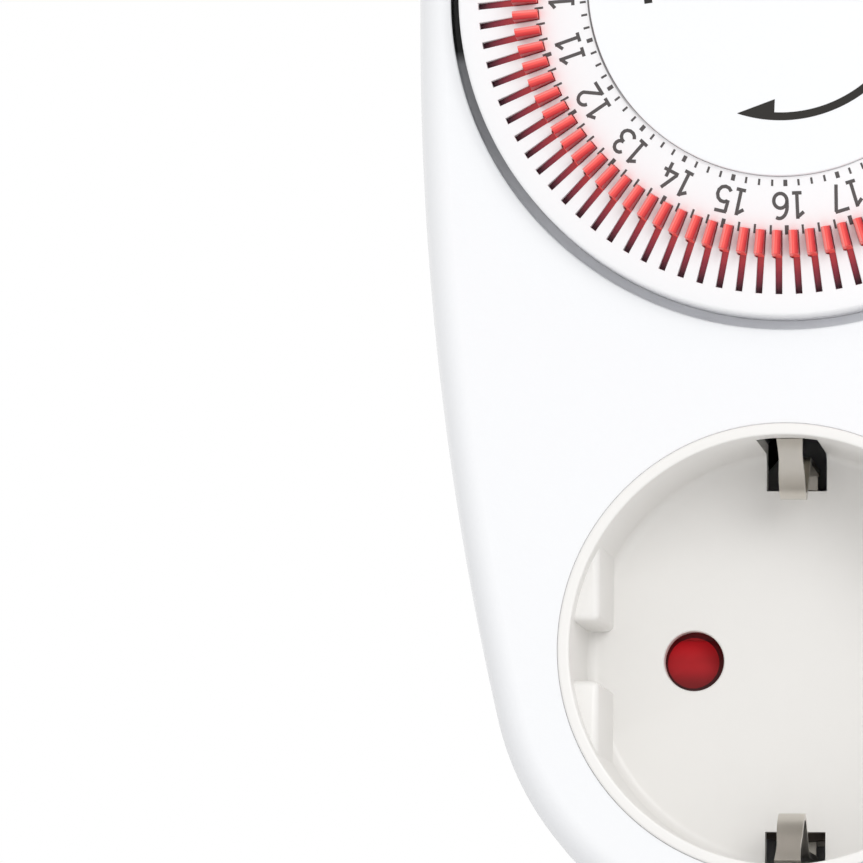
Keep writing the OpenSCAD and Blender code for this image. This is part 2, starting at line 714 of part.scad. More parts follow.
// The slots that let the earth strap's legs out to the seats on the plug body
module earth_slots(z0) top_and_bottom() bar(-side_contact_w / 2 - earth_slot_gap,
    side_contact_w / 2 + earth_slot_gap, earth_seat, earth_seat + strip_t + 2 * earth_slot_gap, z0,
    plug_flange_z + eps);

// A plug pin: round tip, head behind the plug's face and a tail for its lead
module plug_pin(x) color(nickel) upright() translate([x, 0, 0]) {
    tip = 1.2;
    rod(pin_r, tip - pin_len, 0);
    rod(pin_neck_r, -eps, plug_face_t + eps);
    translate([0, 0, -pin_len]) cylinder(r1 = pin_r - tip, r2 = pin_r, h = tip);
    rod(pin_head_r, plug_face_t, plug_face_t + pin_head_t);
    rod(pin_tail_r, plug_face_t + pin_head_t, pin_tail_z);
}

module plug_pin_live() plug_pin(-pin_pitch / 2);

module plug_pin_neutral() plug_pin(pin_pitch / 2);

module plug_earth_strap() color(nickel) upright() {
    y = earth_seat + earth_slot_gap;
    half = side_contact_w / 2;
    difference() {
        bar(-half, half, -y, y, strap_z, strap_z + strip_t);
        rod(rivet_r, strap_z - eps, strap_z + strip_t + eps);
    }
    top_and_bottom() bar(-half, half, y, y + strip_t, side_contact_z, strap_z + strip_t);
}

// The curve of an earth clip: how far its inner face lies from the centre at height z
function clip_y(z) = let (t = (z - clip_bend_z) / (clip_tip_z - clip_bend_z))
    clip_leg_y - (clip_leg_y - clip_crest) * pow(sin(180 * max(0, min(1, t))), clip_bulge);

module earth_bracket() color(nickel) upright() {
    steps = 16;
    zs = [for (i = [0:steps]) clip_bend_z + (clip_tip_z - clip_bend_z) * i / steps];
    profile = concat([[clip_leg_y, clip_foot_z]], [for (z = zs) [clip_y(z), z]],
        [for (i = [steps:-1:0]) [clip_y(zs[i]) + strip_t, zs[i]]],
        [[clip_leg_y + strip_t, clip_foot_z]]);
    difference() {
        bar(-clip_w, clip_w, -clip_leg_y - strip_t, clip_leg_y + strip_t, clip_foot_z,
            clip_foot_z + strip_t);
        rod(rivet_r, clip_foot_z - eps, clip_foot_z + strip_t + eps);
    }
    top_and_bottom() translate([-clip_w / 2, 0, 0]) rotate([90, 0, 90])
        linear_extrude(clip_w) polygon(profile);
}

// Joins the two earth strips through their middles
module earth_rivet() color(steel) upright() {
    rod(rivet_body_r, strap_z + strip_t, clip_foot_z);
    rod(rivet_r - tight_gap, strap_z, clip_foot_z + strip_t);
    rod(rivet_head_r, clip_foot_z + strip_t, clip_foot_z + strip_t + rivet_head_h);
}

// A slotted brass sleeve that grips a pin, hung from its flange, with a tail for its lead
module contact_sleeve() {
    difference() {
        union() {
            rod(sleeve_r, sleeve_bot_z, carrier_bot_z);
            rod(sleeve_flange_r, carrier_bot_z - sleeve_flange_t, carrier_bot_z);
        }
        rod(pin_r + seat_gap, sleeve_bot_z - eps, carrier_bot_z + eps);
        bar(-slit_w / 2, slit_w / 2, -sleeve_flange_r, sleeve_flange_r, sleeve_bot_z + 1.5,
            carrier_bot_z - sleeve_flange_t - 1);
    }
    rod(sleeve_r, contact_end_z, sleeve_bot_z);
    tail_y = (sleeve_r + pin_r) / 2;
    translate([0, tail_y, sleeve_bot_z]) rotate([-90, 0, 0])
        cylinder(r = sleeve_tail_r, h = sleeve_tail_end - tail_y);
}

module contact_live() color(brass) upright() translate([-pin_pitch / 2, 0, 0]) contact_sleeve();

module contact_neutral() color(brass) upright() translate([pin_pitch / 2, 0, 0]) {
    contact_sleeve();
    rod(pin_tail_r, pin_tail_z, contact_end_z);
}

module contact_carrier() color(inner_grey) upright() difference() {
    rod(carrier_r, carrier_bot_z, carrier_top_z);
    pin_holes(carrier_bot_z - eps, carrier_top_z + eps, carrier_hole_r);
}

// Two wings close the pin holes. A pin's tip pushes on the ramps and turns them away.
module shutter() color(shutter_red) upright() difference() {
    union() {
        rod(shutter_hub_r, shutter_bot_z, shutter_top_z);
        for (turn = [0, 180]) rotate([0, 0, turn]) shutter_wing();
    }
    rod(shutter_post_r + run_gap, shutter_bot_z - eps, shutter_top_z + eps);
}

module shutter_wing() {
    half = wing_r * tan(wing_half);
    translate([0, 0, shutter_bot_z]) linear_extrude(shutter_t) intersection() {
        circle(r = wing_r);
        polygon([[0, 0], [2 * wing_r, -2 * half], [2 * wing_r, 2 * half]]);
    }
    x = pin_pitch / 2;
    y = pin_hole_r + 0.2;
    foot_y = 0.9 - y;
    foot_h = 0.2;
    translate([x - pin_hole_r, 0, shutter_bot_z + shutter_t]) rotate([90, 0, 90])
        linear_extrude(2 * pin_hole_r)
            polygon([[foot_y, 0], [y, 0], [y, shutter_ramp_h], [foot_y, foot_h]]);
}

// Pushes the shutter shut: from a boss of the insert to the edge of a wing
module shutter_spring() color(steel) upright() {
    a = carrier_boss.y;
    from = (carrier_boss.x) * [cos(a), sin(a)];
    to = carrier_boss.x * [cos(wing_half), sin(wing_half)];
    span = norm(to - from);
    way = (to - from) / span;
    turn = atan2(way.y, way.x);
    gap = carrier_boss_r + air;
    spring_r = 0.9;
    spring_wire_r = 0.2;
    spring_turns = 9;
    translate([from.x + way.x * gap, from.y + way.y * gap, shutter_bot_z + 1.3])
        rotate([0, 90, turn]) wire(helix(spring_r, span - gap - 1, spring_turns, 10), spring_wire_r, 6);
}

module dial_ring() color(shell_white) upright() at_dial() rotate([0, 0, dial_offset])
    difference() {
        rotate_extrude() polygon(dial_section());
        for (i = [0:segment_count - 1]) rotate([0, 0, (i + 0.5) * segment_pitch]) {
            bar(slot_in_r, slot_in_r + key_len, slot_w / 2 - key_w, slot_w / 2, flange_top_z,
                hub_top_z + 2);
            bar(slot_in_r + key_len - eps, slot_out_r, -slot_w / 2, slot_w / 2, flange_top_z,
                hub_top_z + 2);
        }
    }

// Half of the dial's section: bore, sloping face, rim, skirt and the inner wall
function dial_section() = [
    [dial_bore_r, flange_top_z], [dial_wall_r, flange_top_z],
    [dial_wall_r, face_z(dial_wall_r) - dial_face_t],
    [dial_r - dial_skirt_t, face_z(dial_r - dial_skirt_t) - dial_face_t],
    [dial_r - dial_skirt_t, dial_skirt_z], [dial_r, dial_skirt_z],
    [dial_r, face_z(dial_r) - dial_edge], [dial_r - dial_edge, face_z(dial_r - dial_edge)],
    [dial_bore_r, face_z(dial_bore_r)]];

// The gear under the dial: a hub on the post, a flange for the dial and the toothed wheel
module dial_gear() color(inner_grey) upright() at_dial() difference() {
    union() {
        rod(gear_hub_r, dial_gear_bot_z, gear_hub_top_z);
        rod(dial_wall_r, flange_top_z - flange_t, flange_top_z);
        translate([0, 0, dial_gear_bot_z]) linear_extrude(dial_gear_t)
            polygon(gear_points(dial_teeth, dial_module, wheel_head, gear_foot));
    }
    rod(post_r + run_gap, dial_gear_bot_z - eps, gear_hub_top_z + eps);
}

// A segment that slides in its slot: head, blade and foot. The head is flush with one side of the blade.
module segment() {
    key_r = slot_in_r + segment_play;
    head_out_r = slot_in_r + key_len - segment_play;
    tail_r = slot_out_r - segment_play;
    head_top_z = face_z(head_out_r) + head_h + head_rise;
    blade_bot_z = foot_up_z + 2.5;
    near_drop = 0.5;
    far_drop = 2.6;
    rotate([90, 0, 0]) translate([0, 0, -blade_t / 2]) linear_extrude(blade_t) polygon([
        [foot_r - foot_len / 2, foot_up_z], [foot_r + foot_len / 2, foot_up_z],
        [foot_r + foot_len / 2, blade_bot_z], [tail_r, blade_bot_z],
        [tail_r, face_z(tail_r) - far_drop], [head_out_r, face_z(head_out_r) - near_drop],
        [head_out_r, head_top_z], [key_r, face_z(key_r) + head_h],
        [key_r, blade_bot_z], [foot_r - foot_len / 2, blade_bot_z]]);
    rotate([90, 0, 0]) translate([0, 0, -blade_t / 2]) linear_extrude(head_t) polygon([
        [key_r, face_z(key_r) - dial_face_t - near_drop],
        [head_out_r, face_z(head_out_r) - dial_face_t - near_drop],
        [head_out_r, head_top_z], [key_r, face_z(key_r) + head_h]]);
}

// The segments of one hour. The hour marks run anticlockwise, and 16 stands nearest the bottom.
module segments(hour) color(segment_red) upright() at_dial()
    for (i = [0:segments_per_hour - 1])
        rotate([0, 0, dial_offset - 90 + (hour - 16) * 360 / hours + (i + 0.5) * segment_pitch])
            segment();

module idler_axle() color(steel) upright() translate(idler_at)
    rod(idler_axle_r, plate_bot_z, dial_gear_top_z + 1);

module idler_gear() color(brass) upright() translate(idler_at) difference() {
    union() {
        rotate([0, 0, motor_bearing]) translate([0, 0, wheel_bot_z]) linear_extrude(wheel_t)
            polygon(gear_points(wheel_teeth, motor_module, wheel_head, gear_foot));
        rotate([0, 0, 90 - 180 / pinion_teeth]) translate([0, 0, wheel_bot_z + 0.5])
            linear_extrude(dial_gear_top_z - wheel_bot_z)
                polygon(gear_points(pinion_teeth, dial_module, pinion_head, gear_foot));
    }
    rod(idler_axle_r + run_gap, wheel_bot_z - eps, dial_gear_top_z + 1);
}

// The sealed synchronous motor with its own reduction gear, under the plate
module motor_can() color(steel) upright() translate(motor_at) difference() {
    union() {
        rod(motor_r, plate_bot_z - motor_h, plate_bot_z);
        rod(motor_boss_r, plate_bot_z, plate_top_z + motor_boss_over);
    }
    rod(motor_shaft_r + run_gap, plate_bot_z - shaft_depth - 4 * seat_gap, plate_top_z + 1);
}

module motor_pinion() color(brass) upright() translate(motor_at) {
    rod(motor_shaft_r, plate_bot_z - shaft_depth, wheel_bot_z);
    rotate([0, 0, motor_bearing + 180 - 180 / pinion_teeth]) translate([0, 0, wheel_bot_z - pinion_over])
        linear_extrude(wheel_t + 2 * pinion_over)
            polygon(gear_points(pinion_teeth, motor_module, pinion_head, gear_foot));
}

// The lever that feels a pressed segment with its nose and pushes the switch's plunger
module trip_lever() color(inner_grey) upright() {
    end_y = dial_rise + 2;
    difference() {
        union() {
            bar(lever_x[0], lever_x[1], pivot_y, end_y, lever_bot_z, lever_top_z);
            translate([lever_x[0], pivot_y, pivot_z]) rotate([0, 90, 0])
                cylinder(r = pivot_boss_r, h = lever_x[1] - lever_x[0]);
            translate([foot_r - 0.8, dial_rise, lever_top_z - eps]) rotate([90, 0, 90])
                linear_extrude(1.6) polygon([[2 * nose_tip[0], 0], [2 * nose_tip[1], 0],
                    [nose_tip[1], nose_top_z - lever_top_z], [nose_tip[0], nose_top_z - lever_top_z]]);
        }
        pivot_hole(pivot_r + run_gap);
    }
}

module trip_pivot() color(steel) upright() translate([ear_xs[0], pivot_y, pivot_z])
    rotate([0, 90, 0]) cylinder(r = pivot_r, h = ear_xs[1] - ear_xs[0] + ear_t);

module switch_case() color("black") upright() difference() {
    bar(switch_in_x, switch_in_x + switch_w, switch_low_y, switch_low_y + switch_len, plate_top_z,
        switch_top_z);
    translate([plunger_x, plunger_y, 0]) rod(plunger_r + run_gap, plate_top_z + 2, switch_top_z + eps);
}

plunger_x = (lever_x[0] + lever_x[1]) / 2;

module switch_plunger() color(shutter_red) upright() translate([plunger_x, plunger_y, 0]) {
    rod(plunger_r, switch_top_z - 2.5, lever_bot_z - plunger_r - seat_gap);
    intersection() {
        translate([0, 0, lever_bot_z - plunger_r - seat_gap]) sphere(r = plunger_r);
        rod(plunger_r, lever_bot_z - plunger_r - seat_gap - eps, lever_bot_z);
    }
}

module switch_terminals() color(brass) upright() for (y = terminal_ys)
    bar(terminal_x - terminal_t / 2, terminal_x + terminal_t / 2, y - terminal_w / 2,
        y + terminal_w / 2, terminal_end_z, plate_top_z);

// The override: a carriage inside the wall and the thumb piece in the window
module override_slide() color(segment_red) upright() {
    carriage_t = 1.2;
    grip_w = 0.8;
    grip_pitch = 2;
    y0 = override_y - override_travel / 2;
    low_y = y0 - thumb_h / 2 - 1;
    carriage_x = wall_x(low_y) - shell_wall - air - carriage_t;
    out_x = override_wall_x + thumb_lift;
    bar(carriage_x, carriage_x + carriage_t, low_y, y0 + thumb_h / 2 + 1,
        override_z - thumb_w / 2 - carriage_t, override_z + thumb_w / 2 + carriage_t);
    difference() {
        bar(carriage_x + carriage_t - eps, out_x, y0 - thumb_h / 2, y0 + thumb_h / 2,
            override_z - thumb_w / 2, override_z + thumb_w / 2);
        for (i = [-1:1]) bar(out_x - grip_w / 2, out_x + 1, y0 + grip_pitch * i - grip_w / 2,
            y0 + grip_pitch * i + grip_w / 2, override_z - thumb_w, override_z + thumb_w);
    }
}

module lead_live() color(lead_brown) upright() wire(smooth_route(live_route, 4), lead_r, 8);

module lead_switched() color("black") upright() wire(smooth_route(switched_route, 4), lead_r, 8);

module motor_leads() color("blue") upright() {
    wire(smooth_route(motor_neutral_route, 4), motor_lead_r, 8);
    wire(smooth_route(motor_live_route, 4), motor_lead_r, 8);
}

front_housing();
rear_housing();
socket_insert();
hub_cap();
movement_plate();
housing_screws();
plate_screws();
plug_body();
plug_pin_live();
plug_pin_neutral();
plug_earth_strap();
earth_bracket();
earth_rivet();
contact_live();
contact_neutral();
contact_carrier();
shutter();
shutter_spring();
dial_ring();
dial_gear();
idler_axle();
idler_gear();
motor_can();
motor_pinion();
trip_lever();
trip_pivot();
switch_case();
switch_plunger();
switch_terminals();
override_slide();
lead_live();
lead_switched();
motor_leads();
for (h = [0:hours - 1]) segments(h);
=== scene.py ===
# %% [markdown]
# # A plug-in timer switch
# The timer is a flat white housing with a turning dial above and an earthed socket below. Its plug stands
# out of the back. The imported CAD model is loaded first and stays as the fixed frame: it gives every size,
# and the pieces that aren't modelled again here are shown with a better finish.

# %% Load the frame
import math

import bmesh
import bpy
from mathutils import Matrix, Vector


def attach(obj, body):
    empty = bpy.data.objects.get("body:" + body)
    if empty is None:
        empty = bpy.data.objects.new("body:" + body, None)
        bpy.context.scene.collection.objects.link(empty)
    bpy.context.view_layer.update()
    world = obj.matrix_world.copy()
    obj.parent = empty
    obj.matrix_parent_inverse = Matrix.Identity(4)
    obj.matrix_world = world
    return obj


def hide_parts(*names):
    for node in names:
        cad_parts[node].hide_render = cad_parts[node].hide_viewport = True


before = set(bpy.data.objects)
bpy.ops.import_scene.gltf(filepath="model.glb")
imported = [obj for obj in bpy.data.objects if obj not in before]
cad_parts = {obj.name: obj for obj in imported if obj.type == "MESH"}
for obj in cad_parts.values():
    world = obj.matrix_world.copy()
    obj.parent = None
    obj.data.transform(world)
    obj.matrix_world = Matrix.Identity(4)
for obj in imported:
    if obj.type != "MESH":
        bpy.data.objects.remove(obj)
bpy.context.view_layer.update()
scene = bpy.context.scene

# %% [markdown]
# ## The bench
# Everything is drawn lying on a bench in millimetres, with x to the right, y up and z out of the timer's
# front, because round parts are then turned about z. `finish_piece` merges doubles, points the normals
# outwards, stands the shape up and scales it to metres inside the mesh, so that the finished object sits at
# the origin.

# %% From the bench to a finished piece
MILLIMETRE = 0.001
STAND_UP = Matrix.Rotation(math.radians(90), 4, "X") @ Matrix.Scale(MILLIMETRE, 4)
TURN_AXIS = (0, 0, 1)
MERGE = 0.0008


def tidy(shape):
    """Merges doubled vertices, drops edges without a face, and points every face outwards."""
    bmesh.ops.remove_doubles(shape, verts=shape.verts, dist=MERGE)
    bmesh.ops.delete(shape, geom=[edge for edge in shape.edges if edge.is_wire], context="EDGES")
    bmesh.ops.recalc_face_normals(shape, faces=shape.faces)


def finish_piece(shape, name, material, body, replaces=(), sharp=35):
    """Makes the bench shape an object that rides on a body and stands for CAD nodes."""
    tidy(shape)
    loose = sum(1 for edge in shape.edges if not edge.is_manifold)
    for face in shape.faces:
        face.smooth = True
    shape.transform(STAND_UP)
    mesh = bpy.data.meshes.new(name)
    shape.to_mesh(mesh)
    shape.free()
    mesh.set_sharp_from_angle(angle=math.radians(sharp))
    mesh.materials.append(material)
    piece = bpy.data.objects.new(name, mesh)
    scene.collection.objects.link(piece)
    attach(piece, body)
    if replaces:
        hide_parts(*replaces)
    print(f"{name}: {len(mesh.polygons)} faces, {loose} open edges")


print("a bench unit is", MILLIMETRE, "m, and vertices closer than", MERGE, "mm are merged")


# %% [markdown]
# ## Rounded corners
# Most parts of the timer are turned or swept from a section. A section is a list of corners, each with its
# own rounding, and `rounded` replaces a corner by a short arc. Real mouldings have no knife edges, and it
# is the small round that catches the light. The corners could also be bevelled after the shape is made, but
# in the section each keeps a radius of its own.

# %% Rounded corners
def rounded(corners, steps=4):
    """Turns (a, b, radius) corners of a closed outline into points with rounded corners."""
    points = []
    for i, (a, b, radius) in enumerate(corners):
        here = Vector((a, b))
        if not radius:
            points.append((a, b))
            continue
        back = (Vector(corners[i - 1][:2]) - here).normalized()
        ahead = (Vector(corners[(i + 1) % len(corners)][:2]) - here).normalized()
        half = back.angle(ahead) / 2
        centre = here + (back + ahead).normalized() * radius / math.sin(half)
        start = here + back * radius / math.tan(half) - centre
        end = here + ahead * radius / math.tan(half) - centre
        sweep = start.angle_signed(end)
        for k in range(steps + 1):
            spoke = start.copy()
            spoke.rotate(Matrix.Rotation(-sweep * k / steps, 2))
            points.append(tuple(centre + spoke))
    return points


square = [(0, 0, 1), (9, 0, 1), (9, 9, 1), (0, 9, 1)]
print("a square with four rounded corners has", len(rounded(square)), "points")


# %% [markdown]
# ## Turned shapes
# A section stands upright on the bench beside an axis, and is spun once round it. The spin's own merge
# closes the turn, so that no seam is left where it starts. An open section gives a skin, whose edges are
# filled in later. Straight recesses and flats are cut with plain blocks.

# %% Lines, turned shapes and blocks
def line(shape, points, x=0.0, y=0.0, closed=True):
    """Draws a section upright on the bench, to the right of the axis through x and y."""
    verts = [shape.verts.new((x + r, y, z)) for r, z in points]
    ends = verts[1:] + verts[:1] if closed else verts[1:]
    return verts + [shape.edges.new(pair) for pair in zip(verts, ends)]


def turn(shape, points, x=0.0, y=0.0, steps=96, closed=True):
    """Turns a section once round the axis through x and y."""
    bmesh.ops.spin(shape, geom=line(shape, points, x, y, closed), cent=(x, y, 0), axis=TURN_AXIS,
                   angle=math.tau, steps=steps, use_merge=True)


def block(shape, low, high):
    """A box between two corners."""
    made = bmesh.ops.create_cube(shape, size=1)["verts"]
    size = Vector(high) - Vector(low)
    bmesh.ops.scale(shape, vec=size, verts=made)
    bmesh.ops.translate(shape, vec=Vector(low) + size / 2, verts=made)


def turned_piece(points, x=0.0, y=0.0, steps=96):
    """A new bench shape that is turned from a closed section."""
    shape = bmesh.new()
    turn(shape, points, x, y, steps)
    return shape


def bevel(shape, edges, offset, segments=1):
    """Bevels edges with the editor's own settings, and gives the new vertices."""
    return bmesh.ops.bevel(shape, geom=edges, offset=offset, segments=segments, profile=0.5, affect="EDGES",
                           material=-1)["verts"]


peg = turned_piece([(0, 0), (1, 0), (1, 2), (0, 2)], steps=12)
tidy(peg)
print("a peg that is turned in 12 steps has", len(peg.faces), "faces")
peg.free()


# %% [markdown]
# ## Cutting
# Windows, pockets and recesses are cut with a Boolean modifier between two bench shapes. The exact solver
# keeps a closed shape closed, and the result is read back into a bmesh straight away, so no cutter stays in
# the scene.

# %% A cutter for the bench
def carved(blank, tool, operation="DIFFERENCE"):
    """Cuts the tool out of the blank, or joins the two with another operation."""
    held = []
    for shape in (blank, tool):
        tidy(shape)
        mesh = bpy.data.meshes.new("bench")
        shape.to_mesh(mesh)
        shape.free()
        held.append(bpy.data.objects.new("bench", mesh))
        scene.collection.objects.link(held[-1])
    cut = held[0].modifiers.new("cut", "BOOLEAN")
    cut.operation = operation
    cut.solver = "EXACT"
    cut.object = held[1]
    bpy.context.view_layer.update()
    result = bmesh.new()
    result.from_mesh(held[0].evaluated_get(bpy.context.evaluated_depsgraph_get()).to_mesh())
    for made in held:
        bpy.data.objects.remove(made)
    return result


cube, corner = bmesh.new(), bmesh.new()
block(cube, (0, 0, 0), (2, 2, 2))
block(corner, (1, 1, 1), (3, 3, 3))
notched = carved(cube, corner)
print("a cube with one corner cut away has", len(notched.faces), "faces")
notched.free()


# %% [markdown]
# ## Plastics
# Moulded plastic is never one flat colour: its tone drifts a little over centimetres, and a fine grain
# breaks the reflections. Both effects are node groups, so that every plastic shares them. A group gives out
# only a colour or a normal, and the shader itself stays in the material with its constants on its own
# sockets.

# %% Nodes and node groups
FLOAT, COLOUR, VECTOR = "NodeSocketFloat", "NodeSocketColor", "NodeSocketVector"


def add_node(nodes, kind, **values):
    """A new node with its settings."""
    node = nodes.new(kind)
    for key, value in values.items():
        setattr(node, key, value)
    return node


def effect_group(name, inputs, outputs):
    """A node group with named sockets."""
    group = bpy.data.node_groups.new(name, "ShaderNodeTree")
    for label, kind in inputs:
        group.interface.new_socket(label, in_out="INPUT", socket_type=kind)
    for label, kind in outputs:
        group.interface.new_socket(label, in_out="OUTPUT", socket_type=kind)
    return group, group.nodes.new("NodeGroupInput"), group.nodes.new("NodeGroupOutput")


print("kinds of socket:", FLOAT, COLOUR, VECTOR)

# %% [markdown]
# ## The drift of the tone
# A large, soft noise mixes two tones that lie close together. The tones could also be painted, but a noise
# reads the object's own coordinates, so it needs no unwrapping and stays on the piece when it moves.

# %% Shared effect: the tone drift
tone_drift, ins, outs = effect_group(
    "tone drift",
    [("Vector", VECTOR), ("Colour", COLOUR), ("Other", COLOUR), ("Scale", FLOAT)],
    [("Colour", COLOUR)])
cloud = add_node(tone_drift.nodes, "ShaderNodeTexNoise")
cloud.inputs["Detail"].default_value = 3
mix = add_node(tone_drift.nodes, "ShaderNodeMix", data_type="RGBA")
tone_drift.links.new(ins.outputs["Vector"], cloud.inputs["Vector"])
tone_drift.links.new(ins.outputs["Scale"], cloud.inputs["Scale"])
tone_drift.links.new(cloud.outputs["Fac"], mix.inputs["Factor"])
tone_drift.links.new(ins.outputs["Colour"], mix.inputs["A"])
tone_drift.links.new(ins.outputs["Other"], mix.inputs["B"])
tone_drift.links.new(mix.outputs["Result"], outs.inputs["Colour"])
print("effect:", tone_drift.name, "with", len(tone_drift.nodes), "nodes")

# %% [markdown]
# ## The grain
# A mould leaves a grain of a few hundredths of a millimetre. It is far too fine for the mesh and shows only
# in the reflections, so a noise goes through a Bump node into the shader's normal.

# %% Shared effect: the grain
grain, ins, outs = effect_group(
    "grain",
    [("Vector", VECTOR), ("Scale", FLOAT), ("Depth", FLOAT)],
    [("Normal", VECTOR)])
speck = add_node(grain.nodes, "ShaderNodeTexNoise")
speck.inputs["Detail"].default_value = 4
bump = add_node(grain.nodes, "ShaderNodeBump")
bump.inputs["Strength"].default_value = 0.6
grain.links.new(ins.outputs["Vector"], speck.inputs["Vector"])
grain.links.new(ins.outputs["Scale"], speck.inputs["Scale"])
grain.links.new(speck.outputs["Fac"], bump.inputs["Height"])
grain.links.new(ins.outputs["Depth"], bump.inputs["Distance"])
grain.links.new(bump.outputs["Normal"], outs.inputs["Normal"])
print("effect:", grain.name, "with", len(grain.nodes), "nodes")

# %% [markdown]
# ## A place on the dial
# Some finishes get painted shade that depends on their place on the dial: a blade is painted darker towards
# the rim, and the ring in the groove is painted darker at the left. Such painted shade could be drawn on each
# piece, but 24 hours share one finish.
# So a third shared effect works the place out from the object's own coordinates. It gives the distance from
# the dial's axis in millimetres, how squarely a face looks along the dial's turn, and how far to the right
# and how far up it lies, from -1 to 1.

# %% Shared effect: the place on the dial
DIAL_Y = 60.0
FLAT_MILLIMETRES = (1 / MILLIMETRE, 0, 1 / MILLIMETRE)
dial_place, ins, outs = effect_group(
    "dial place",
    [("Vector", VECTOR), ("Normal", VECTOR)],
    [("Reach", FLOAT), ("Facing", FLOAT), ("Right", FLOAT), ("Up", FLOAT)])
nodes, links = dial_place.nodes, dial_place.links
from_axis = add_node(nodes, "ShaderNodeVectorMath", operation="MULTIPLY_ADD")
from_axis.inputs[1].default_value = FLAT_MILLIMETRES
from_axis.inputs[2].default_value = (0, 0, -DIAL_Y)
reach = add_node(nodes, "ShaderNodeVectorMath", operation="LENGTH")
outward = add_node(nodes, "ShaderNodeVectorMath", operation="NORMALIZE")
sideways = add_node(nodes, "ShaderNodeVectorMath", operation="CROSS_PRODUCT")
sideways.inputs[0].default_value = (0, -1, 0)
facing = add_node(nodes, "ShaderNodeVectorMath", operation="DOT_PRODUCT")
split = add_node(nodes, "ShaderNodeSeparateXYZ")
links.new(ins.outputs["Vector"], from_axis.inputs[0])
links.new(from_axis.outputs["Vector"], reach.inputs[0])
links.new(from_axis.outputs["Vector"], outward.inputs[0])
links.new(outward.outputs["Vector"], sideways.inputs[1])
links.new(sideways.outputs["Vector"], facing.inputs[0])
links.new(ins.outputs["Normal"], facing.inputs[1])
links.new(outward.outputs["Vector"], split.inputs[0])
links.new(reach.outputs["Value"], outs.inputs["Reach"])
links.new(facing.outputs["Value"], outs.inputs["Facing"])
links.new(split.outputs["X"], outs.inputs["Right"])
links.new(split.outputs["Z"], outs.inputs["Up"])
print("effect:", dial_place.name, "about a point", DIAL_Y, "mm up")

# %% [markdown]
# ## One function for every finish
# Plastic, metal and ink differ in colour, roughness, metal and grain, and in little else. One function
# therefore makes them all, and places the first two effects in each new material with its own values.

# %% A finish from the shared effects
def finish(name, colour, other, rough, metal=0.0, drift=40, grain_scale=2500, depth=0.00001,
           stretch=(1, 1, 1), level=0.5):
    """A material whose colour drifts between two tones over a fine grain."""
    material = bpy.data.materials.new(name)
    material.use_nodes = True
    nodes, links = material.node_tree.nodes, material.node_tree.links
    shader = nodes["Principled BSDF"]
    shader.inputs["Roughness"].default_value = rough
    shader.inputs["Metallic"].default_value = metal
    shader.inputs["Specular IOR Level"].default_value = level
    place = add_node(nodes, "ShaderNodeTexCoord")
    mapping = add_node(nodes, "ShaderNodeMapping")
    mapping.inputs["Scale"].default_value = stretch
    links.new(place.outputs["Object"], mapping.inputs["Vector"])
    drifting = add_node(nodes, "ShaderNodeGroup", node_tree=tone_drift)
    drifting.inputs["Colour"].default_value = (*colour, 1)
    drifting.inputs["Other"].default_value = (*other, 1)
    drifting.inputs["Scale"].default_value = drift
    grained = add_node(nodes, "ShaderNodeGroup", node_tree=grain)
    grained.inputs["Scale"].default_value = grain_scale
    grained.inputs["Depth"].default_value = depth
    links.new(mapping.outputs["Vector"], drifting.inputs["Vector"])
    links.new(mapping.outputs["Vector"], grained.inputs["Vector"])
    links.new(drifting.outputs["Colour"], shader.inputs["Base Color"])
    links.new(grained.outputs["Normal"], shader.inputs["Normal"])
    return material


print("every finish holds", tone_drift.name, "and", grain.name)

# %% [markdown]
# ## The timer's finishes
# The front is a bright, slightly cold white with a gloss, and the back has a coarser grain. The socket is a
# warmer white, the segments and the shutter are two reds, and inside there are grey and brown plastics,
# brass, nickel, zinc and coloured leads. Each finish has two tones that lie close together. They are all
# written down in one place, so that a tone is easily set against its neighbours.

# %% Plastics, inks, metals and leads
gloss_white = finish("gloss white", (0.885, 0.895, 0.91), (0.895, 0.9, 0.915), 0.22, drift=25)
rear_white = finish("rear white", (0.90, 0.91, 0.925), (0.915, 0.92, 0.935), 0.38, drift=25,
                    grain_scale=1800, depth=0.00004)
warm_white = finish("warm white", (0.86, 0.847, 0.824), (0.874, 0.861, 0.838), 0.35, drift=60)
segment_red = finish("segment red", (0.93, 0.08, 0.07), (0.95, 0.12, 0.105), 0.35, drift=300, level=0.35)
shutter_red = finish("shutter red", (0.48, 0.008, 0.014), (0.54, 0.012, 0.018), 0.45, drift=120, level=0.25)
slide_red = finish("slide red", (0.78, 0.05, 0.05), (0.82, 0.06, 0.06), 0.4, drift=200)
dial_ink = finish("dial ink", (0.085, 0.078, 0.078), (0.11, 0.1, 0.1), 0.6, drift=900, level=0.3)
hub_ink = finish("hub ink", (0.016, 0.014, 0.012), (0.022, 0.02, 0.017), 0.55, drift=400, level=0.3)
inner_grey = finish("inner grey plastic", (0.26, 0.28, 0.31), (0.3, 0.32, 0.35), 0.5, drift=80, depth=0.00003)
carrier_brown = finish("carrier brown", (0.13, 0.1, 0.075), (0.17, 0.13, 0.1), 0.45, drift=150, depth=0.00003)
gear_ivory = finish("gear ivory", (0.8, 0.77, 0.66), (0.84, 0.81, 0.7), 0.35, drift=120)
switch_black = finish("switch black", (0.02, 0.02, 0.022), (0.035, 0.035, 0.038), 0.45, drift=150,
                      depth=0.00003)
nickel = finish("nickel plate", (0.60, 0.57, 0.52), (0.68, 0.65, 0.6), 0.3, metal=1, drift=300,
                grain_scale=1500, depth=0.000008, stretch=(1, 1, 0.1))
zinc = finish("zinc plated steel", (0.55, 0.56, 0.58), (0.66, 0.66, 0.66), 0.38, metal=1, drift=400,
              grain_scale=3000)
brass = finish("contact brass", (0.72, 0.52, 0.22), (0.8, 0.6, 0.3), 0.32, metal=1, drift=250,
               grain_scale=2000)
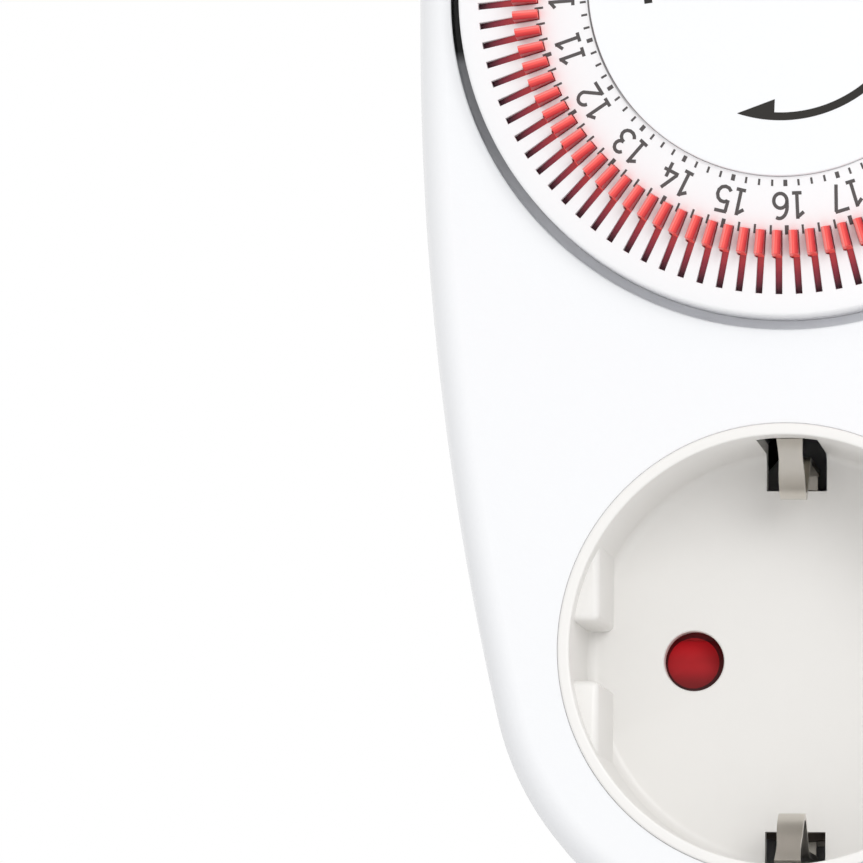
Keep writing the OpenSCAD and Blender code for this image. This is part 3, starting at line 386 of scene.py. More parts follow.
can_steel = finish("motor can steel", (0.45, 0.46, 0.48), (0.55, 0.56, 0.57), 0.42, metal=1, drift=60,
                   stretch=(1, 0.2, 1))
brown_pvc = finish("brown lead", (0.12, 0.05, 0.022), (0.15, 0.065, 0.03), 0.45, drift=200)
black_pvc = finish("black lead", (0.015, 0.015, 0.016), (0.025, 0.025, 0.026), 0.45, drift=200)
blue_pvc = finish("blue lead", (0.03, 0.08, 0.36), (0.04, 0.1, 0.42), 0.45, drift=200)
print("materials so far, with the frame's own:", len(bpy.data.materials))

# %% [markdown]
# ## Painting shade into a finish
# A real part is darker in its grooves and slots. An even white surrounding lights such places more than a
# room does, so three finishes get painted shade by place, and in places painted light: a blend is put
# between the colour and the shader. The amount of the blend is a value that changes over the surface. The
# painted shade is a part of the material and moves with the piece.

# %% Values and blends for a finish
def colour_feed(material):
    """The nodes, the links, and the node that feeds the shader's colour."""
    nodes, links = material.node_tree.nodes, material.node_tree.links
    return nodes, links, nodes["Principled BSDF"].inputs["Base Color"].links[0].from_socket


def own_coordinates(material):
    """The outputs with the object's own coordinates and normal."""
    return next(node for node in material.node_tree.nodes if node.bl_idname == "ShaderNodeTexCoord").outputs


def place_node(material):
    """A dial place node that is fed with the object's own coordinates and normal."""
    nodes, links, _ = colour_feed(material)
    placed = add_node(nodes, "ShaderNodeGroup", node_tree=dial_place)
    links.new(own_coordinates(material)["Object"], placed.inputs["Vector"])
    links.new(own_coordinates(material)["Normal"], placed.inputs["Normal"])
    return placed


def spread(material, source, low, high, start=0.0, end=1.0, kind="SMOOTHSTEP"):
    """Maps a value to another range, with soft ends."""
    nodes, links, _ = colour_feed(material)
    node = add_node(nodes, "ShaderNodeMapRange", interpolation_type=kind)
    for key, value in (("From Min", low), ("From Max", high), ("To Min", start), ("To Max", end)):
        node.inputs[key].default_value = value
    links.new(source, node.inputs["Value"])
    return node.outputs["Result"]


def shade(material, amount, tone, blend="MULTIPLY"):
    """Paints shade or light into the colour: blends it with a tone, or with a tone that another node gives,
    where the amount is one.
    """
    nodes, links, colour = colour_feed(material)
    blended = add_node(nodes, "ShaderNodeMix", data_type="RGBA", blend_type=blend)
    links.new(amount, blended.inputs["Factor"])
    links.new(colour, blended.inputs["A"])
    if isinstance(tone, tuple):
        blended.inputs["B"].default_value = (*tone, 1)
    else:
        links.new(tone, blended.inputs["B"])
    links.new(blended.outputs["Result"], nodes["Principled BSDF"].inputs["Base Color"])


print("a finish has", len(segment_red.node_tree.nodes), "nodes before it is shaded")

# %% [markdown]
# ## Painted shade on the segments
# The blades lie in deep slots, and their colour is painted darker outwards as shade in the slot. Their
# heads get painted shade on the side that looks along the dial's turn, and a painted highlight on the
# other. One finish does this for all 96 of them, because it reads the distance from the axis and the side
# of each face.

# %% Painted shade on the segments
# Painted shade: the blades are darkened in steps towards the rim, where they lie deep in the slot.
BLADE_PAINTED_SHADES = [(24.72, 24.8, (0.48, 0.38, 0.55)), (25.0, 26.6, (0.55, 0.6, 0.9)),
                (26.4, 27.9, (0.2, 0.5, 0.45))]
# Painted shade on the side of each head that looks along the turn, and a painted highlight on its other side.
PAINTED_SHADE_SIDE, PAINTED_HIGHLIGHT_SIDE, PAINTED_HIGHLIGHT_SHARE = (0.5, 0.25, 0.45), (1, 0.5, 0.47), 0.45
PAINTED_SHADE_FACING, PAINTED_HIGHLIGHT_FACING = (0.5, 0.9), (-0.2, -0.5)
placed = place_node(segment_red)
for low, high, tone in BLADE_PAINTED_SHADES:
    shade(segment_red, spread(segment_red, placed.outputs["Reach"], low, high), tone)
shade(segment_red, spread(segment_red, placed.outputs["Facing"], *PAINTED_SHADE_FACING), PAINTED_SHADE_SIDE)
painted_highlight = spread(segment_red, placed.outputs["Facing"], *PAINTED_HIGHLIGHT_FACING, 0, PAINTED_HIGHLIGHT_SHARE)
shade(segment_red, painted_highlight, PAINTED_HIGHLIGHT_SIDE, "MIX")
print("segment shades:", len(BLADE_PAINTED_SHADES), "along the blade and 2 by side")

# %% [markdown]
# ## Painted shade in the groove
# The ring in the groove round the dial is painted pale at the bottom and dark at the sides, as shade in the
# deep groove. A colour ramp gives this painted shade from the bottom up to the height of the dial's middle,
# and a comparison keeps it to the ring alone. The ring could have a finish of its own, but then it would be
# a piece of its own too.

# %% Painted shade in the groove
def within(material, source, value, reach):
    """One where the source is within reach of the value, and zero elsewhere."""
    nodes, links, _ = colour_feed(material)
    node = add_node(nodes, "ShaderNodeMath", operation="COMPARE")
    node.inputs[1].default_value, node.inputs[2].default_value = value, reach
    links.new(source, node.inputs[0])
    return node.outputs[0]


# Painted shade on the ring: dark at the sides and pale at the bottom, with a slightly colder tone.
RING_R, RING_HALF = 29.9, 0.97
RING_PAINTED_SHADES = [(0, 1), (0.3, 0.9), (0.58, 0.55), (0.8, 0.45), (0.84, 0.03)]
COLD = 1.02
placed = place_node(gloss_white)
nodes, links, _ = colour_feed(gloss_white)
ring_painted_shade = add_node(nodes, "ShaderNodeValToRGB")
links.new(spread(gloss_white, placed.outputs["Up"], -1, 0, kind="LINEAR"), ring_painted_shade.inputs["Fac"])
stops = ring_painted_shade.color_ramp.elements
for k, (place, level) in enumerate(RING_PAINTED_SHADES):
    stop = stops[k] if k < 2 else stops.new(place)
    stop.position = place
    stop.color = (level, level, level * COLD, 1)
in_groove = within(gloss_white, placed.outputs["Reach"], RING_R, RING_HALF)
shade(gloss_white, in_groove, ring_painted_shade.outputs["Color"])
print("groove tones:", len(stops), "from the bottom up")

# %% [markdown]
# ## Painted light and shade on the shutter
# The shutter closes the pin holes from behind. What shows of it in a hole is painted lighter at the top, as
# painted light, darker at the bottom, as painted shade, and darkest in a ring, as a painted shadow of the
# wall of the hole. Only the distance from the hole's middle is needed, so the finish works it out without
# the dial's effect. The painted shadow ring is drawn behind the left hole. The view looks a little from the
# right, so the ring's middle lies slightly left of the hole's own.

# %% Painted light and shade on the shutter
HOLE_X = 9.77
# A painted shadow ring from the hole's wall, with painted light at the top and painted shade at the bottom.
SHADOW_R, SHADOW_HALF, PAINTED_SHADOW_TONE = 3.0, 0.6, (0.2, 0.3, 0.3)
PAINTED_LIGHT_TONE, PAINTED_SHADE_TONE = (1.8, 1.8, 1.8), (0.45, 0.45, 0.45)
PAINTED_LIGHT_HEIGHTS, PAINTED_SHADE_HEIGHTS = (0, 2.2), (-2.2, -0.2)
nodes, links, _ = colour_feed(shutter_red)
from_hole = add_node(nodes, "ShaderNodeVectorMath", operation="MULTIPLY_ADD")
from_hole.inputs[1].default_value = FLAT_MILLIMETRES
from_hole.inputs[2].default_value = (HOLE_X, 0, 0)
links.new(own_coordinates(shutter_red)["Object"], from_hole.inputs[0])
hole_reach = add_node(nodes, "ShaderNodeVectorMath", operation="LENGTH")
links.new(from_hole.outputs["Vector"], hole_reach.inputs[0])
hole_parts = add_node(nodes, "ShaderNodeSeparateXYZ")
links.new(from_hole.outputs["Vector"], hole_parts.inputs[0])
shade(shutter_red, spread(shutter_red, hole_parts.outputs["Z"], *PAINTED_LIGHT_HEIGHTS), PAINTED_LIGHT_TONE)
shade(shutter_red, spread(shutter_red, hole_parts.outputs["Z"], *PAINTED_SHADE_HEIGHTS, 1, 0), PAINTED_SHADE_TONE)
shade(shutter_red, within(shutter_red, hole_reach.outputs["Value"], SHADOW_R, SHADOW_HALF), PAINTED_SHADOW_TONE)
print(f"the shutter is dark from {SHADOW_R - SHADOW_HALF:.1f} mm round the hole's middle")

# %% [markdown]
# ## The white front
# The housing's outline is four arcs: a half circle round the dial, one round the socket and two long,
# almost straight ones beside them. The section is carried round them with four spins, each about its own
# centre, which keeps every arc truly round. A curve with handles would only come near to that. The flat
# front is then filled in between the outer edge, the dial's well and the socket's opening.

# %% The housing's outline
TOP_R = 34.9
BOTTOM_R = 27.9
SIDE_X = (DIAL_Y**2 + TOP_R**2 - BOTTOM_R**2) / (2 * (TOP_R - BOTTOM_R)) - TOP_R
SIDE_TURN = math.degrees(math.atan(DIAL_Y / SIDE_X))
BACK_Z, PART_Z, FRONT_Z = 18.0, 36.0, 56.0
WALL = 2.2
SAME_LEVEL = 0.0001
OUTLINE_ARCS = [(0, DIAL_Y, 180, 80), (SIDE_X, DIAL_Y, SIDE_TURN, 18), (0, 0, 180 - 2 * SIDE_TURN, 68),
                (-SIDE_X, DIAL_Y, SIDE_TURN, 18)]


def sweep_outline(shape, section):
    """Carries an open (inset, z) section round the housing."""
    edge = line(shape, [(TOP_R - inset, z) for inset, z in section], 0, DIAL_Y, closed=False)
    for x, y, angle, steps in OUTLINE_ARCS:
        edge = bmesh.ops.spin(shape, geom=edge, cent=(x, y, 0), axis=TURN_AXIS, angle=math.radians(angle),
                              steps=steps)["geom_last"]
    bmesh.ops.remove_doubles(shape, verts=shape.verts, dist=MERGE)


def fill_level(shape, z):
    """Fills the flat face between the open edges at height z."""
    rim = [e for e in shape.edges if e.is_boundary and all(abs(v.co.z - z) < SAME_LEVEL for v in e.verts)]
    bmesh.ops.triangle_fill(shape, edges=rim, use_beauty=True)
    return len(rim)


print(f"the side arcs turn {SIDE_TURN:.2f} degrees about x = {SIDE_X:.1f}")

# %% [markdown]
# ## The front shell's sections
# A moulded shell leans inwards by its draft, so that it comes off the mould, and turns into the flat front
# over a large round edge. The dial's well has a ring below the front and a ledge under the dial's skirt.
# The well and the socket's opening are turned as open sections whose upper ends lie in the flat front.

# %% The front shell
WELL_R, WELL_ROUND, SOCKET_HOLE_R = 30.85, 0.22, 20.62
INNER_Z = FRONT_Z - WALL
DRAFT, EDGE_IN, EDGE_DOWN, EDGE_STEPS = 0.8, 2.7, 4.0, 14
SEAM_IN, SEAM_UP, INNER_BEVEL = 0.25, 0.2, 0.1
DRAFT_ROWS = [(0.04, SEAM_UP), (0.2, 4), (0.5, 10)]
LIP = 0.45
RING_IN, RING_FOOT, RING_Z = 29.895, 30.1, 54.1
LEDGE_IN, LEDGE_Z, LEDGE_T = 28.9, 51.8, 1.0
COLLAR_R = WELL_R + 1.4
edge_angles = [math.pi / 2 * k / EDGE_STEPS for k in range(EDGE_STEPS + 1)]
edge_arc = [(DRAFT + EDGE_IN * (1 - math.cos(a)), FRONT_Z - EDGE_DOWN * (1 - math.sin(a)))
            for a in edge_angles]
side_rows = [(WALL + 0.3, INNER_Z), (WALL, PART_Z + INNER_BEVEL), (WALL - INNER_BEVEL, PART_Z),
             (SEAM_IN, PART_Z)] + [(inset, PART_Z + up) for inset, up in DRAFT_ROWS]
front = bmesh.new()
sweep_outline(front, side_rows + edge_arc + [(DRAFT + EDGE_IN + 0.1, FRONT_Z)])
well_section = rounded([
    (WELL_R + LIP, FRONT_Z, 0), (WELL_R, FRONT_Z, WELL_ROUND), (WELL_R, RING_Z + 0.2, 0.2),
    (RING_IN, RING_Z, 0.02), (RING_FOOT, LEDGE_Z, 0.1), (LEDGE_IN, LEDGE_Z, 0.1),
    (LEDGE_IN, LEDGE_Z - LEDGE_T, 0.1), (COLLAR_R, LEDGE_Z - LEDGE_T, 0.1), (COLLAR_R, INNER_Z, 0)])
turn(front, well_section, 0, DIAL_Y, steps=144, closed=False)
hole_section = rounded([
    (SOCKET_HOLE_R + LIP, FRONT_Z, 0), (SOCKET_HOLE_R, FRONT_Z, 0.06), (SOCKET_HOLE_R, INNER_Z, 0.1),
    (SOCKET_HOLE_R + 0.4, INNER_Z, 0)])
turn(front, hole_section, 0, 0, steps=128, closed=False)
print("front edges:", fill_level(front, FRONT_Z), "inner edges:", fill_level(front, INNER_Z))

# %% [markdown]
# ## The window at the side
# The override slide moves in a window in the right-hand side. A cut with a block is the simplest way
# through a curved wall, because it gives the window straight sides wherever the wall runs.

# %% The window for the override slide
OVERRIDE_Y, OVERRIDE_Z = 40.0, 44.2
WINDOW_DOWN, WINDOW_UP, WINDOW_HALF = 4.3, 8.3, 2.1
WINDOW_FROM, WINDOW_TO = 28, 38
window = bmesh.new()
block(window, (WINDOW_FROM, OVERRIDE_Y - WINDOW_DOWN, OVERRIDE_Z - WINDOW_HALF),
      (WINDOW_TO, OVERRIDE_Y + WINDOW_UP, OVERRIDE_Z + WINDOW_HALF))
front = carved(front, window)
finish_piece(front, "front_shell", gloss_white, "timer_housing", ["front_housing"])

# %% [markdown]
# ## The back shell
# The back shell has the same outline, so it is swept from its own section. The two shells meet in a fine
# seam. It is made as a small bevel on both edges, because a gap would let light into the housing. Three
# round recesses take the heads of the screws.

# %% The back shell
REAR_ROUND, REAR_STEPS = 3.0, 10
SCREWS_AT = [(26.5, 22.0), (-26.5, 22.0), (0.0, -23.2)]
RECESS_FLOOR, SCREW_R = BACK_Z + 1.15, 2.45
rear_angles = [math.pi / 2 * k / REAR_STEPS for k in range(REAR_STEPS + 1)]
back_arc = [(REAR_ROUND * (1 - math.sin(a)), BACK_Z + REAR_ROUND * (1 - math.cos(a))) for a in rear_angles]
rear = bmesh.new()
sweep_outline(rear, [(REAR_ROUND + 0.2, BACK_Z)] + back_arc + [
    (0, PART_Z - 3), (0.02, PART_Z - SEAM_UP), (SEAM_IN, PART_Z), (WALL - INNER_BEVEL, PART_Z),
    (WALL, PART_Z - INNER_BEVEL), (WALL + 0.2, BACK_Z + WALL)])
fill_level(rear, BACK_Z)
fill_level(rear, BACK_Z + WALL)
recess = bmesh.new()
for x, y in SCREWS_AT:
    turn(recess, [(0, BACK_Z - 1), (SCREW_R, BACK_Z - 1), (SCREW_R, RECESS_FLOOR), (0, RECESS_FLOOR)], x, y,
         steps=40, closed=False)
rear = carved(rear, recess)
finish_piece(rear, "rear_shell", rear_white, "timer_housing", ["rear_housing"])

# %% [markdown]
# ## The plug
# The plug's body is a round cup with two flat sides, a guide tongue on each of them and two notches for the
# earth contacts. The cup is turned first, and everything straight is then cut with blocks. The tongues need
# no shape of their own, because they are what the cuts leave between them.

# %% The plug's body
PLUG_R, PLUG_TOP = 18.6, 18.3
PLUG_INNER_R, PLUG_FLOOR = 14.4, 4
FLAT_X, TONGUE_HALF = 16.6, 2.0
NOTCH_Y, NOTCH_HALF = 15.8, 2.7
CUT_TOP, BEYOND = 17.9, 20
plug = turned_piece(rounded([
    (0, 0, 0), (PLUG_R, 0, 1.0), (PLUG_R, PLUG_TOP, 0.1), (PLUG_INNER_R, PLUG_TOP, 0.2),
    (PLUG_INNER_R, PLUG_FLOOR, 0.4), (0, PLUG_FLOOR, 0)]), steps=120)
sides = bmesh.new()
for x in (-1, 1):
    for y in (-1, 1):
        across, along = sorted((x * FLAT_X, x * BEYOND)), sorted((y * TONGUE_HALF, y * BEYOND))
        block(sides, (across[0], along[0], -1), (across[1], along[1], CUT_TOP))
for y in (-1, 1):
    along = sorted((y * NOTCH_Y, y * BEYOND))
    block(sides, (-NOTCH_HALF, along[0], -1), (NOTCH_HALF, along[1], CUT_TOP))
plug = carved(plug, sides)
finish_piece(plug, "plug_cup", rear_white, "timer_housing", ["plug_body"])

# %% [markdown]
# ## The plug's pins
# Each pin is turned in one go: a round tip, the pin itself, a thinner neck that sits in the plug's floor, a
# flange behind it and a stud for the contact inside. Cylinders put on top of each other would leave hidden
# faces between them.

# %% The plug's pins
PIN_X, PIN_R, PIN_OUT = 9.5, 2.4, 19
NECK_R, NECK_FROM = 2.1, 0.4
FLANGE_R, FLANGE_LOW, FLANGE_TOP = 3.5, 4, 5
STUD_R, STUD_END = 1.5, 12
pin_section = rounded([
    (0, -PIN_OUT, 0), (PIN_R, -PIN_OUT, 1.1), (PIN_R, NECK_FROM, 0.1), (NECK_R, NECK_FROM, 0),
    (NECK_R, FLANGE_LOW, 0), (FLANGE_R, FLANGE_LOW, 0), (FLANGE_R, FLANGE_TOP, 0.3), (STUD_R, FLANGE_TOP, 0),
    (STUD_R, STUD_END, 0.3), (0, STUD_END, 0)], steps=6)
for side, node in ((-1, "plug_pin_live"), (1, "plug_pin_neutral")):
    pin = turned_piece(pin_section, side * PIN_X, steps=48)
    finish_piece(pin, node.replace("plug_pin", "pin"), nickel, "timer_housing", [node])

# %% [markdown]
# ## The socket
# The socket is a turned cup with a round rim. Guide ribs stand on both sides of it, two pockets at the top
# and the bottom hold the earth clips, and two round holes let the pins in. A rib is a block with worn
# edges. It is first cut back to a round room, so that its outer side lies in the cup's wall, and is then
# joined to the cup.

# %% The socket cup
CUP_R, RECESS_R, CUP_BACK = 20.59, 19.5, 36.5
RIM_Z, FLOOR_Z = 56.3, 38.5
COLLAR_LOW, COLLAR_TOP, CUP_COLLAR_R = 53.0, 53.8, 22.35
RIB_X, RIB_TOP, RIB_REACH, RIB_WORN = 17.0, 53.3, 20.2, 0.7
RIB_FROM, RIB_TO, RIB_ROOT = 2.7, 11.5, 0.5
ROOM_LOW, ROOM_TOP = FLOOR_Z - 1, RIB_TOP + 0.7
cup = turned_piece(rounded([
    (0, FLOOR_Z, 0), (RECESS_R, FLOOR_Z, 1.1), (RECESS_R + 0.02, RIM_Z, 0.22), (CUP_R, RIM_Z, 0.25),
    (CUP_R, COLLAR_TOP, 0), (CUP_COLLAR_R, COLLAR_TOP, 0.1), (CUP_COLLAR_R, COLLAR_LOW, 0.1),
    (CUP_R, COLLAR_LOW, 0.1), (CUP_R, CUP_BACK, 0.3), (0, CUP_BACK, 0)], steps=6), steps=160)
for x in (-1, 1):
    for y in (-1, 1):
        rib = bmesh.new()
        across, along = sorted((x * RIB_X, x * (RIB_REACH + 0.1))), sorted((y * RIB_FROM, y * RIB_TO))
        block(rib, (across[0], along[0], FLOOR_Z - RIB_ROOT), (across[1], along[1], RIB_TOP))
        worn = [e for e in rib.edges if all(abs(abs(v.co.x) - RIB_X) < 0.01 for v in e.verts)
                or all(v.co.z > RIB_TOP - 0.3 for v in e.verts)]
        bevel(rib, worn, RIB_WORN, segments=5)
        room = [(0, ROOM_LOW), (RIB_REACH, ROOM_LOW), (RIB_REACH, ROOM_TOP), (0, ROOM_TOP)]
        rib = carved(rib, turned_piece(room, steps=120), "INTERSECT")
        cup = carved(cup, rib, "UNION")
print("the cup with its four ribs:", len(cup.faces), "faces")

# %% [markdown]
# ## What is cut out of the cup
# The earth clips stand in two pockets that are open at the top, and the plug's pins go through two round
# holes with a small chamfer. All the cutters are made in one bench shape, so that the cup is cut only once.

# %% The pockets and the pin holes
PIN_HOLE_R, CHAMFER = 2.8, 0.1
POCKET_IN, POCKET_OUT, POCKET_HALF, POCKET_TOP = 15.85, 23, 2.8, 53.0
BELOW_CUP, ABOVE_FLOOR = 35, FLOOR_Z + 2
holes = bmesh.new()
for y in (-1, 1):
    along = sorted((y * POCKET_IN, y * POCKET_OUT))
    block(holes, (-POCKET_HALF, along[0], BELOW_CUP + 1), (POCKET_HALF, along[1], POCKET_TOP))
for x in (-PIN_X, PIN_X):
    turn(holes, [
        (0, BELOW_CUP), (PIN_HOLE_R, BELOW_CUP), (PIN_HOLE_R, FLOOR_Z - CHAMFER),
        (PIN_HOLE_R + 0.02, FLOOR_Z - CHAMFER), (PIN_HOLE_R + CHAMFER, FLOOR_Z + 0.02),
        (PIN_HOLE_R + CHAMFER, ABOVE_FLOOR), (0, ABOVE_FLOOR)], x, 0, steps=64, closed=False)
cup = carved(cup, holes)
finish_piece(cup, "socket_cup", warm_white, "timer_housing", ["socket_insert"], sharp=25)

# %% [markdown]
# ## The earth clips
# Each clip is a strip of nickel-plated brass that is bent towards the plug and has a slight waist at its
# crest. It could be cut out of a block, but sheet metal has the same thickness all along. So a flat grid is
# bent along the clip's curve and then given its thickness, which keeps the bend even.

# %% The earth clips
CLIP_W, CLIP_T, CLIP_X = 2.4, 0.6, 0.2
CLIP_LEG, CLIP_CREST = 18.0, (14.6, 14.0)
CLIP_FOOT, CLIP_LOW, CLIP_TOP = 26.2, 40.0, 52.3
CLIP_LEAN, CLIP_FULLNESS = 1.2, 1.4
WAIST, WAIST_Z = 0.1, 50.6


def clip_reach(z, crest):
    """How far a clip's face lies from the middle of the socket at height z."""
    share = min(1, max(0, (z - CLIP_LOW) / (CLIP_TOP - CLIP_LOW)))
    bulge = math.sin(math.pi * share) ** CLIP_FULLNESS
    return CLIP_LEG + CLIP_LEAN * share ** 3 - (CLIP_LEG - crest) * bulge


clips = bmesh.new()
for side in (-1, 1):
    made = bmesh.ops.create_grid(clips, x_segments=4, y_segments=44, size=0.5)["verts"]
    for vert in made:
        z = CLIP_FOOT + (CLIP_TOP - CLIP_FOOT) * (vert.co.y + 0.5)
        wide = CLIP_W * (1 - WAIST * math.exp(-(z - WAIST_Z) ** 2))
        reach = clip_reach(z, CLIP_CREST[side > 0]) + CLIP_T / 2
        vert.co = (CLIP_X + vert.co.x * wide, side * reach, z)
    faces = list({face for vert in made for face in vert.link_faces})
    bmesh.ops.recalc_face_normals(clips, faces=faces)
    bmesh.ops.solidify(clips, geom=faces, thickness=CLIP_T)
print(f"the clips reach {min(v.co.y for v in clips.verts):.2f} mm down")
strip_y = CLIP_LEG + CLIP_T
block(clips, (-CLIP_W / 2, -strip_y, CLIP_FOOT - CLIP_T / 2), (CLIP_W / 2, strip_y, CLIP_FOOT + CLIP_T / 2))
finish_piece(clips, "earth_clips", nickel, "timer_housing", ["earth_bracket"], sharp=40)

# %% [markdown]
# ## The dial
# The dial's face slopes gently outwards and has 96 slots, four to an hour, so only one slot's sector is
# made. Its section is turned through 3.75 degrees, the slot is opened through the face and walled in, its
# upper edge is bevelled, and the sector is then repeated round the dial. Ninety-six cuts through a whole
# dial would take longer, and their edges couldn't be bevelled as evenly.

# %% The dial's sloping face
DIAL_R, BORE_R = 29.88, 17.63
SLOT_IN, SLOT_OUT, KEY_OUT = 22.38, 28.0, 24.74
QUARTERS, HOURS = 96, 24
SECTOR, HOUR_TURN = 3.75, 15
DIAL_SET, BOTTOM_HOUR = 1.15, 16
SLOT_OUT_Z = 59.35
SLOPE = math.tan(math.radians(15))


def face_z(r):
    """Height of the dial's face at radius r."""
    return SLOT_OUT_Z + (SLOT_OUT - r) * SLOPE


DIAL_CENTRE = Vector((0, DIAL_Y, 0))


def turn_about_dial(shape, verts, degrees):
    """Turns vertices about the dial's axis."""
    turned = Matrix.Rotation(math.radians(degrees), 3, "Z")
    bmesh.ops.rotate(shape, verts=verts, cent=DIAL_CENTRE, matrix=turned)


def repeat_round(shape, copies, step):
    """Repeats what is on the bench round the dial."""
    bmesh.ops.spin(shape, geom=shape.verts[:] + shape.edges[:] + shape.faces[:], cent=DIAL_CENTRE,
                   axis=TURN_AXIS, angle=math.radians(step * (copies - 1)), steps=copies - 1,
                   use_duplicate=True)


def hour_angle(hour):
    """Where an hour starts on the dial, in degrees. The number 16 stands at the bottom."""
    return DIAL_SET - 90 + (hour - BOTTOM_HOUR) * HOUR_TURN


print(f"the face falls from {face_z(BORE_R):.2f} to {face_z(DIAL_R):.2f} mm")

# %% [markdown]
# ## One sector of the dial
# The sector is turned in six steps. The slot takes the middle two of them, so its side walls start as
# straight lines of the turned face, which are moved to the slot's own width, wider at the inner end where
# the heads sit.

# %% One sector of the dial
ROWS = [SLOT_IN, KEY_OUT, KEY_OUT + 0.12, SLOT_OUT]
FACE_T, TICK_ROW = 2.6, 21.9
RIM_R, SKIRT_R, SKIRT_Z = 28.4, 28.6, 52.5
INNER_WALL_R, INNER_WALL_Z, BORE_EDGE = 19.0, 54.0, 0.04
SECTOR_STEPS, UNDER_SLOTS, ON_ROW = 6, 55.5, 0.01
SLOT_EDGE, ON_FACE = 0.05, 0.05
top_rows = [(r, face_z(r)) for r in [BORE_R + BORE_EDGE, INNER_WALL_R + 0.4, TICK_ROW] + ROWS + [RIM_R]]
under_rows = [(r, face_z(r) - FACE_T) for r in reversed([INNER_WALL_R, TICK_ROW] + ROWS)]
skirt = rounded([
    (RIM_R, face_z(RIM_R), 0), (DIAL_R, face_z(DIAL_R), 0.4), (DIAL_R, SKIRT_Z, 0.1), (SKIRT_R, SKIRT_Z, 0.1),
    (SKIRT_R, face_z(SKIRT_R) - FACE_T, 0.2), (SLOT_OUT, face_z(SLOT_OUT) - FACE_T, 0)], steps=3)[1:-1]
bore = [(INNER_WALL_R, INNER_WALL_Z), (BORE_R, INNER_WALL_Z), (BORE_R, face_z(BORE_R) - BORE_EDGE)]
dial = bmesh.new()
geometry = line(dial, top_rows + skirt + under_rows + bore, 0, DIAL_Y)
turn_about_dial(dial, dial.verts, DIAL_SET)
bmesh.ops.spin(dial, geom=geometry, cent=DIAL_CENTRE, axis=TURN_AXIS, angle=math.radians(SECTOR),
               steps=SECTOR_STEPS)
middle = math.radians(DIAL_SET + SECTOR / 2)
SLOT_SIDES, NEXT_SIDES, KEY_SIDE = (-0.31, 0.31), (-0.66, 0.5), 0.59
chosen = set()
for vert in dial.verts:
    spoke = vert.co - DIAL_CENTRE
    r = math.hypot(spoke.x, spoke.y)
    off = round(math.degrees(math.atan2(spoke.y, spoke.x) - middle) / (SECTOR / SECTOR_STEPS))
    in_slot = SLOT_IN - ON_ROW < r < SLOT_OUT + ON_ROW and vert.co.z > UNDER_SLOTS
    if in_slot and abs(off) in (1, 2):
        side = SLOT_SIDES[off > 0] if abs(off) == 1 else NEXT_SIDES[off > 0]
        across = -KEY_SIDE if off == -1 and r < KEY_OUT + 0.05 else side
        vert.co.x = r * math.cos(middle) - across * math.sin(middle)
        vert.co.y = DIAL_Y + r * math.sin(middle) + across * math.cos(middle)
    if in_slot and abs(off) <= 1:
        chosen.add(vert)
print("vertices round the slot:", len(chosen), "faces in a sector:", len(dial.faces))

# %% [markdown]
# ## Opening the slot
# The faces between the slot's sides are deleted on the dial's face and on its underside, and the two open
# rims are bridged, which makes the walls of the slot. The upper rim then gets a fine bevel that catches the
# light, as the edge of a moulding does.

# %% The opened slot
def on_face(vert):
    """Whether a vertex lies on the dial's face and not on its underside."""
    return abs(vert.co.z - face_z(math.hypot(vert.co.x, vert.co.y - DIAL_Y))) < ON_FACE


slot_faces = [f for f in dial.faces if all(v in chosen for v in f.verts)]
top_faces = {f for f in slot_faces if all(on_face(v) for v in f.verts)}
rim = {e for f in slot_faces for e in f.edges if sum(g in slot_faces for g in e.link_faces) == 1}
top_rim = {e for f in top_faces for e in f.edges} & rim
bmesh.ops.delete(dial, geom=slot_faces, context="FACES")
bmesh.ops.bridge_loops(dial, edges=[e for e in rim if e.is_valid])
bevel(dial, [e for e in top_rim if e.is_valid], SLOT_EDGE)
print("slot faces opened:", len(slot_faces), "faces in a sector:", len(dial.faces))

# %% [markdown]
# ## Ninety-six sectors
# The finished sector is spun round the axis as copies, and each meets its neighbours along the same line,
# where the doubles are merged. The dial's finish gets a painted shade line next to the cap on the left, where
# hardly any light falls into the narrow gap.

# %% The whole dial and its finish
repeat_round(dial, QUARTERS, SECTOR)
dial_white = finish("dial white", (0.925, 0.925, 0.935), (0.935, 0.935, 0.945), 0.3, drift=60)
# Painted shade: a dark line next to the cap on the left, where the narrow gap gets little light.
GAP_FROM, GAP_TO = BORE_R + 0.12, BORE_R + 0.2
GAP_LEFT, GAP_FADED, GAP_PAINTED_SHADE = -0.98, -0.6, (0.2, 0.2, 0.2)
placed = place_node(dial_white)
nodes, links, _ = colour_feed(dial_white)
painted_cap_shade = add_node(nodes, "ShaderNodeMath", operation="MULTIPLY")
links.new(spread(dial_white, placed.outputs["Reach"], GAP_FROM, GAP_TO, 1, 0), painted_cap_shade.inputs[0])
links.new(spread(dial_white, placed.outputs["Right"], GAP_LEFT, GAP_FADED, 1, 0), painted_cap_shade.inputs[1])
shade(dial_white, painted_cap_shade.outputs[0], GAP_PAINTED_SHADE)
finish_piece(dial, "dial_face", dial_white, "dial", ["dial_ring"], sharp=25)

# %% [markdown]
# ## The switching segments
# A segment is a thin red blade with a thicker head that a fingertip presses down. Its outline is drawn from
# the side, filled and extruded to its thickness, because it is flat like a blade and not round. The head's
# long edges are bevelled one by one, since each has its own slant.

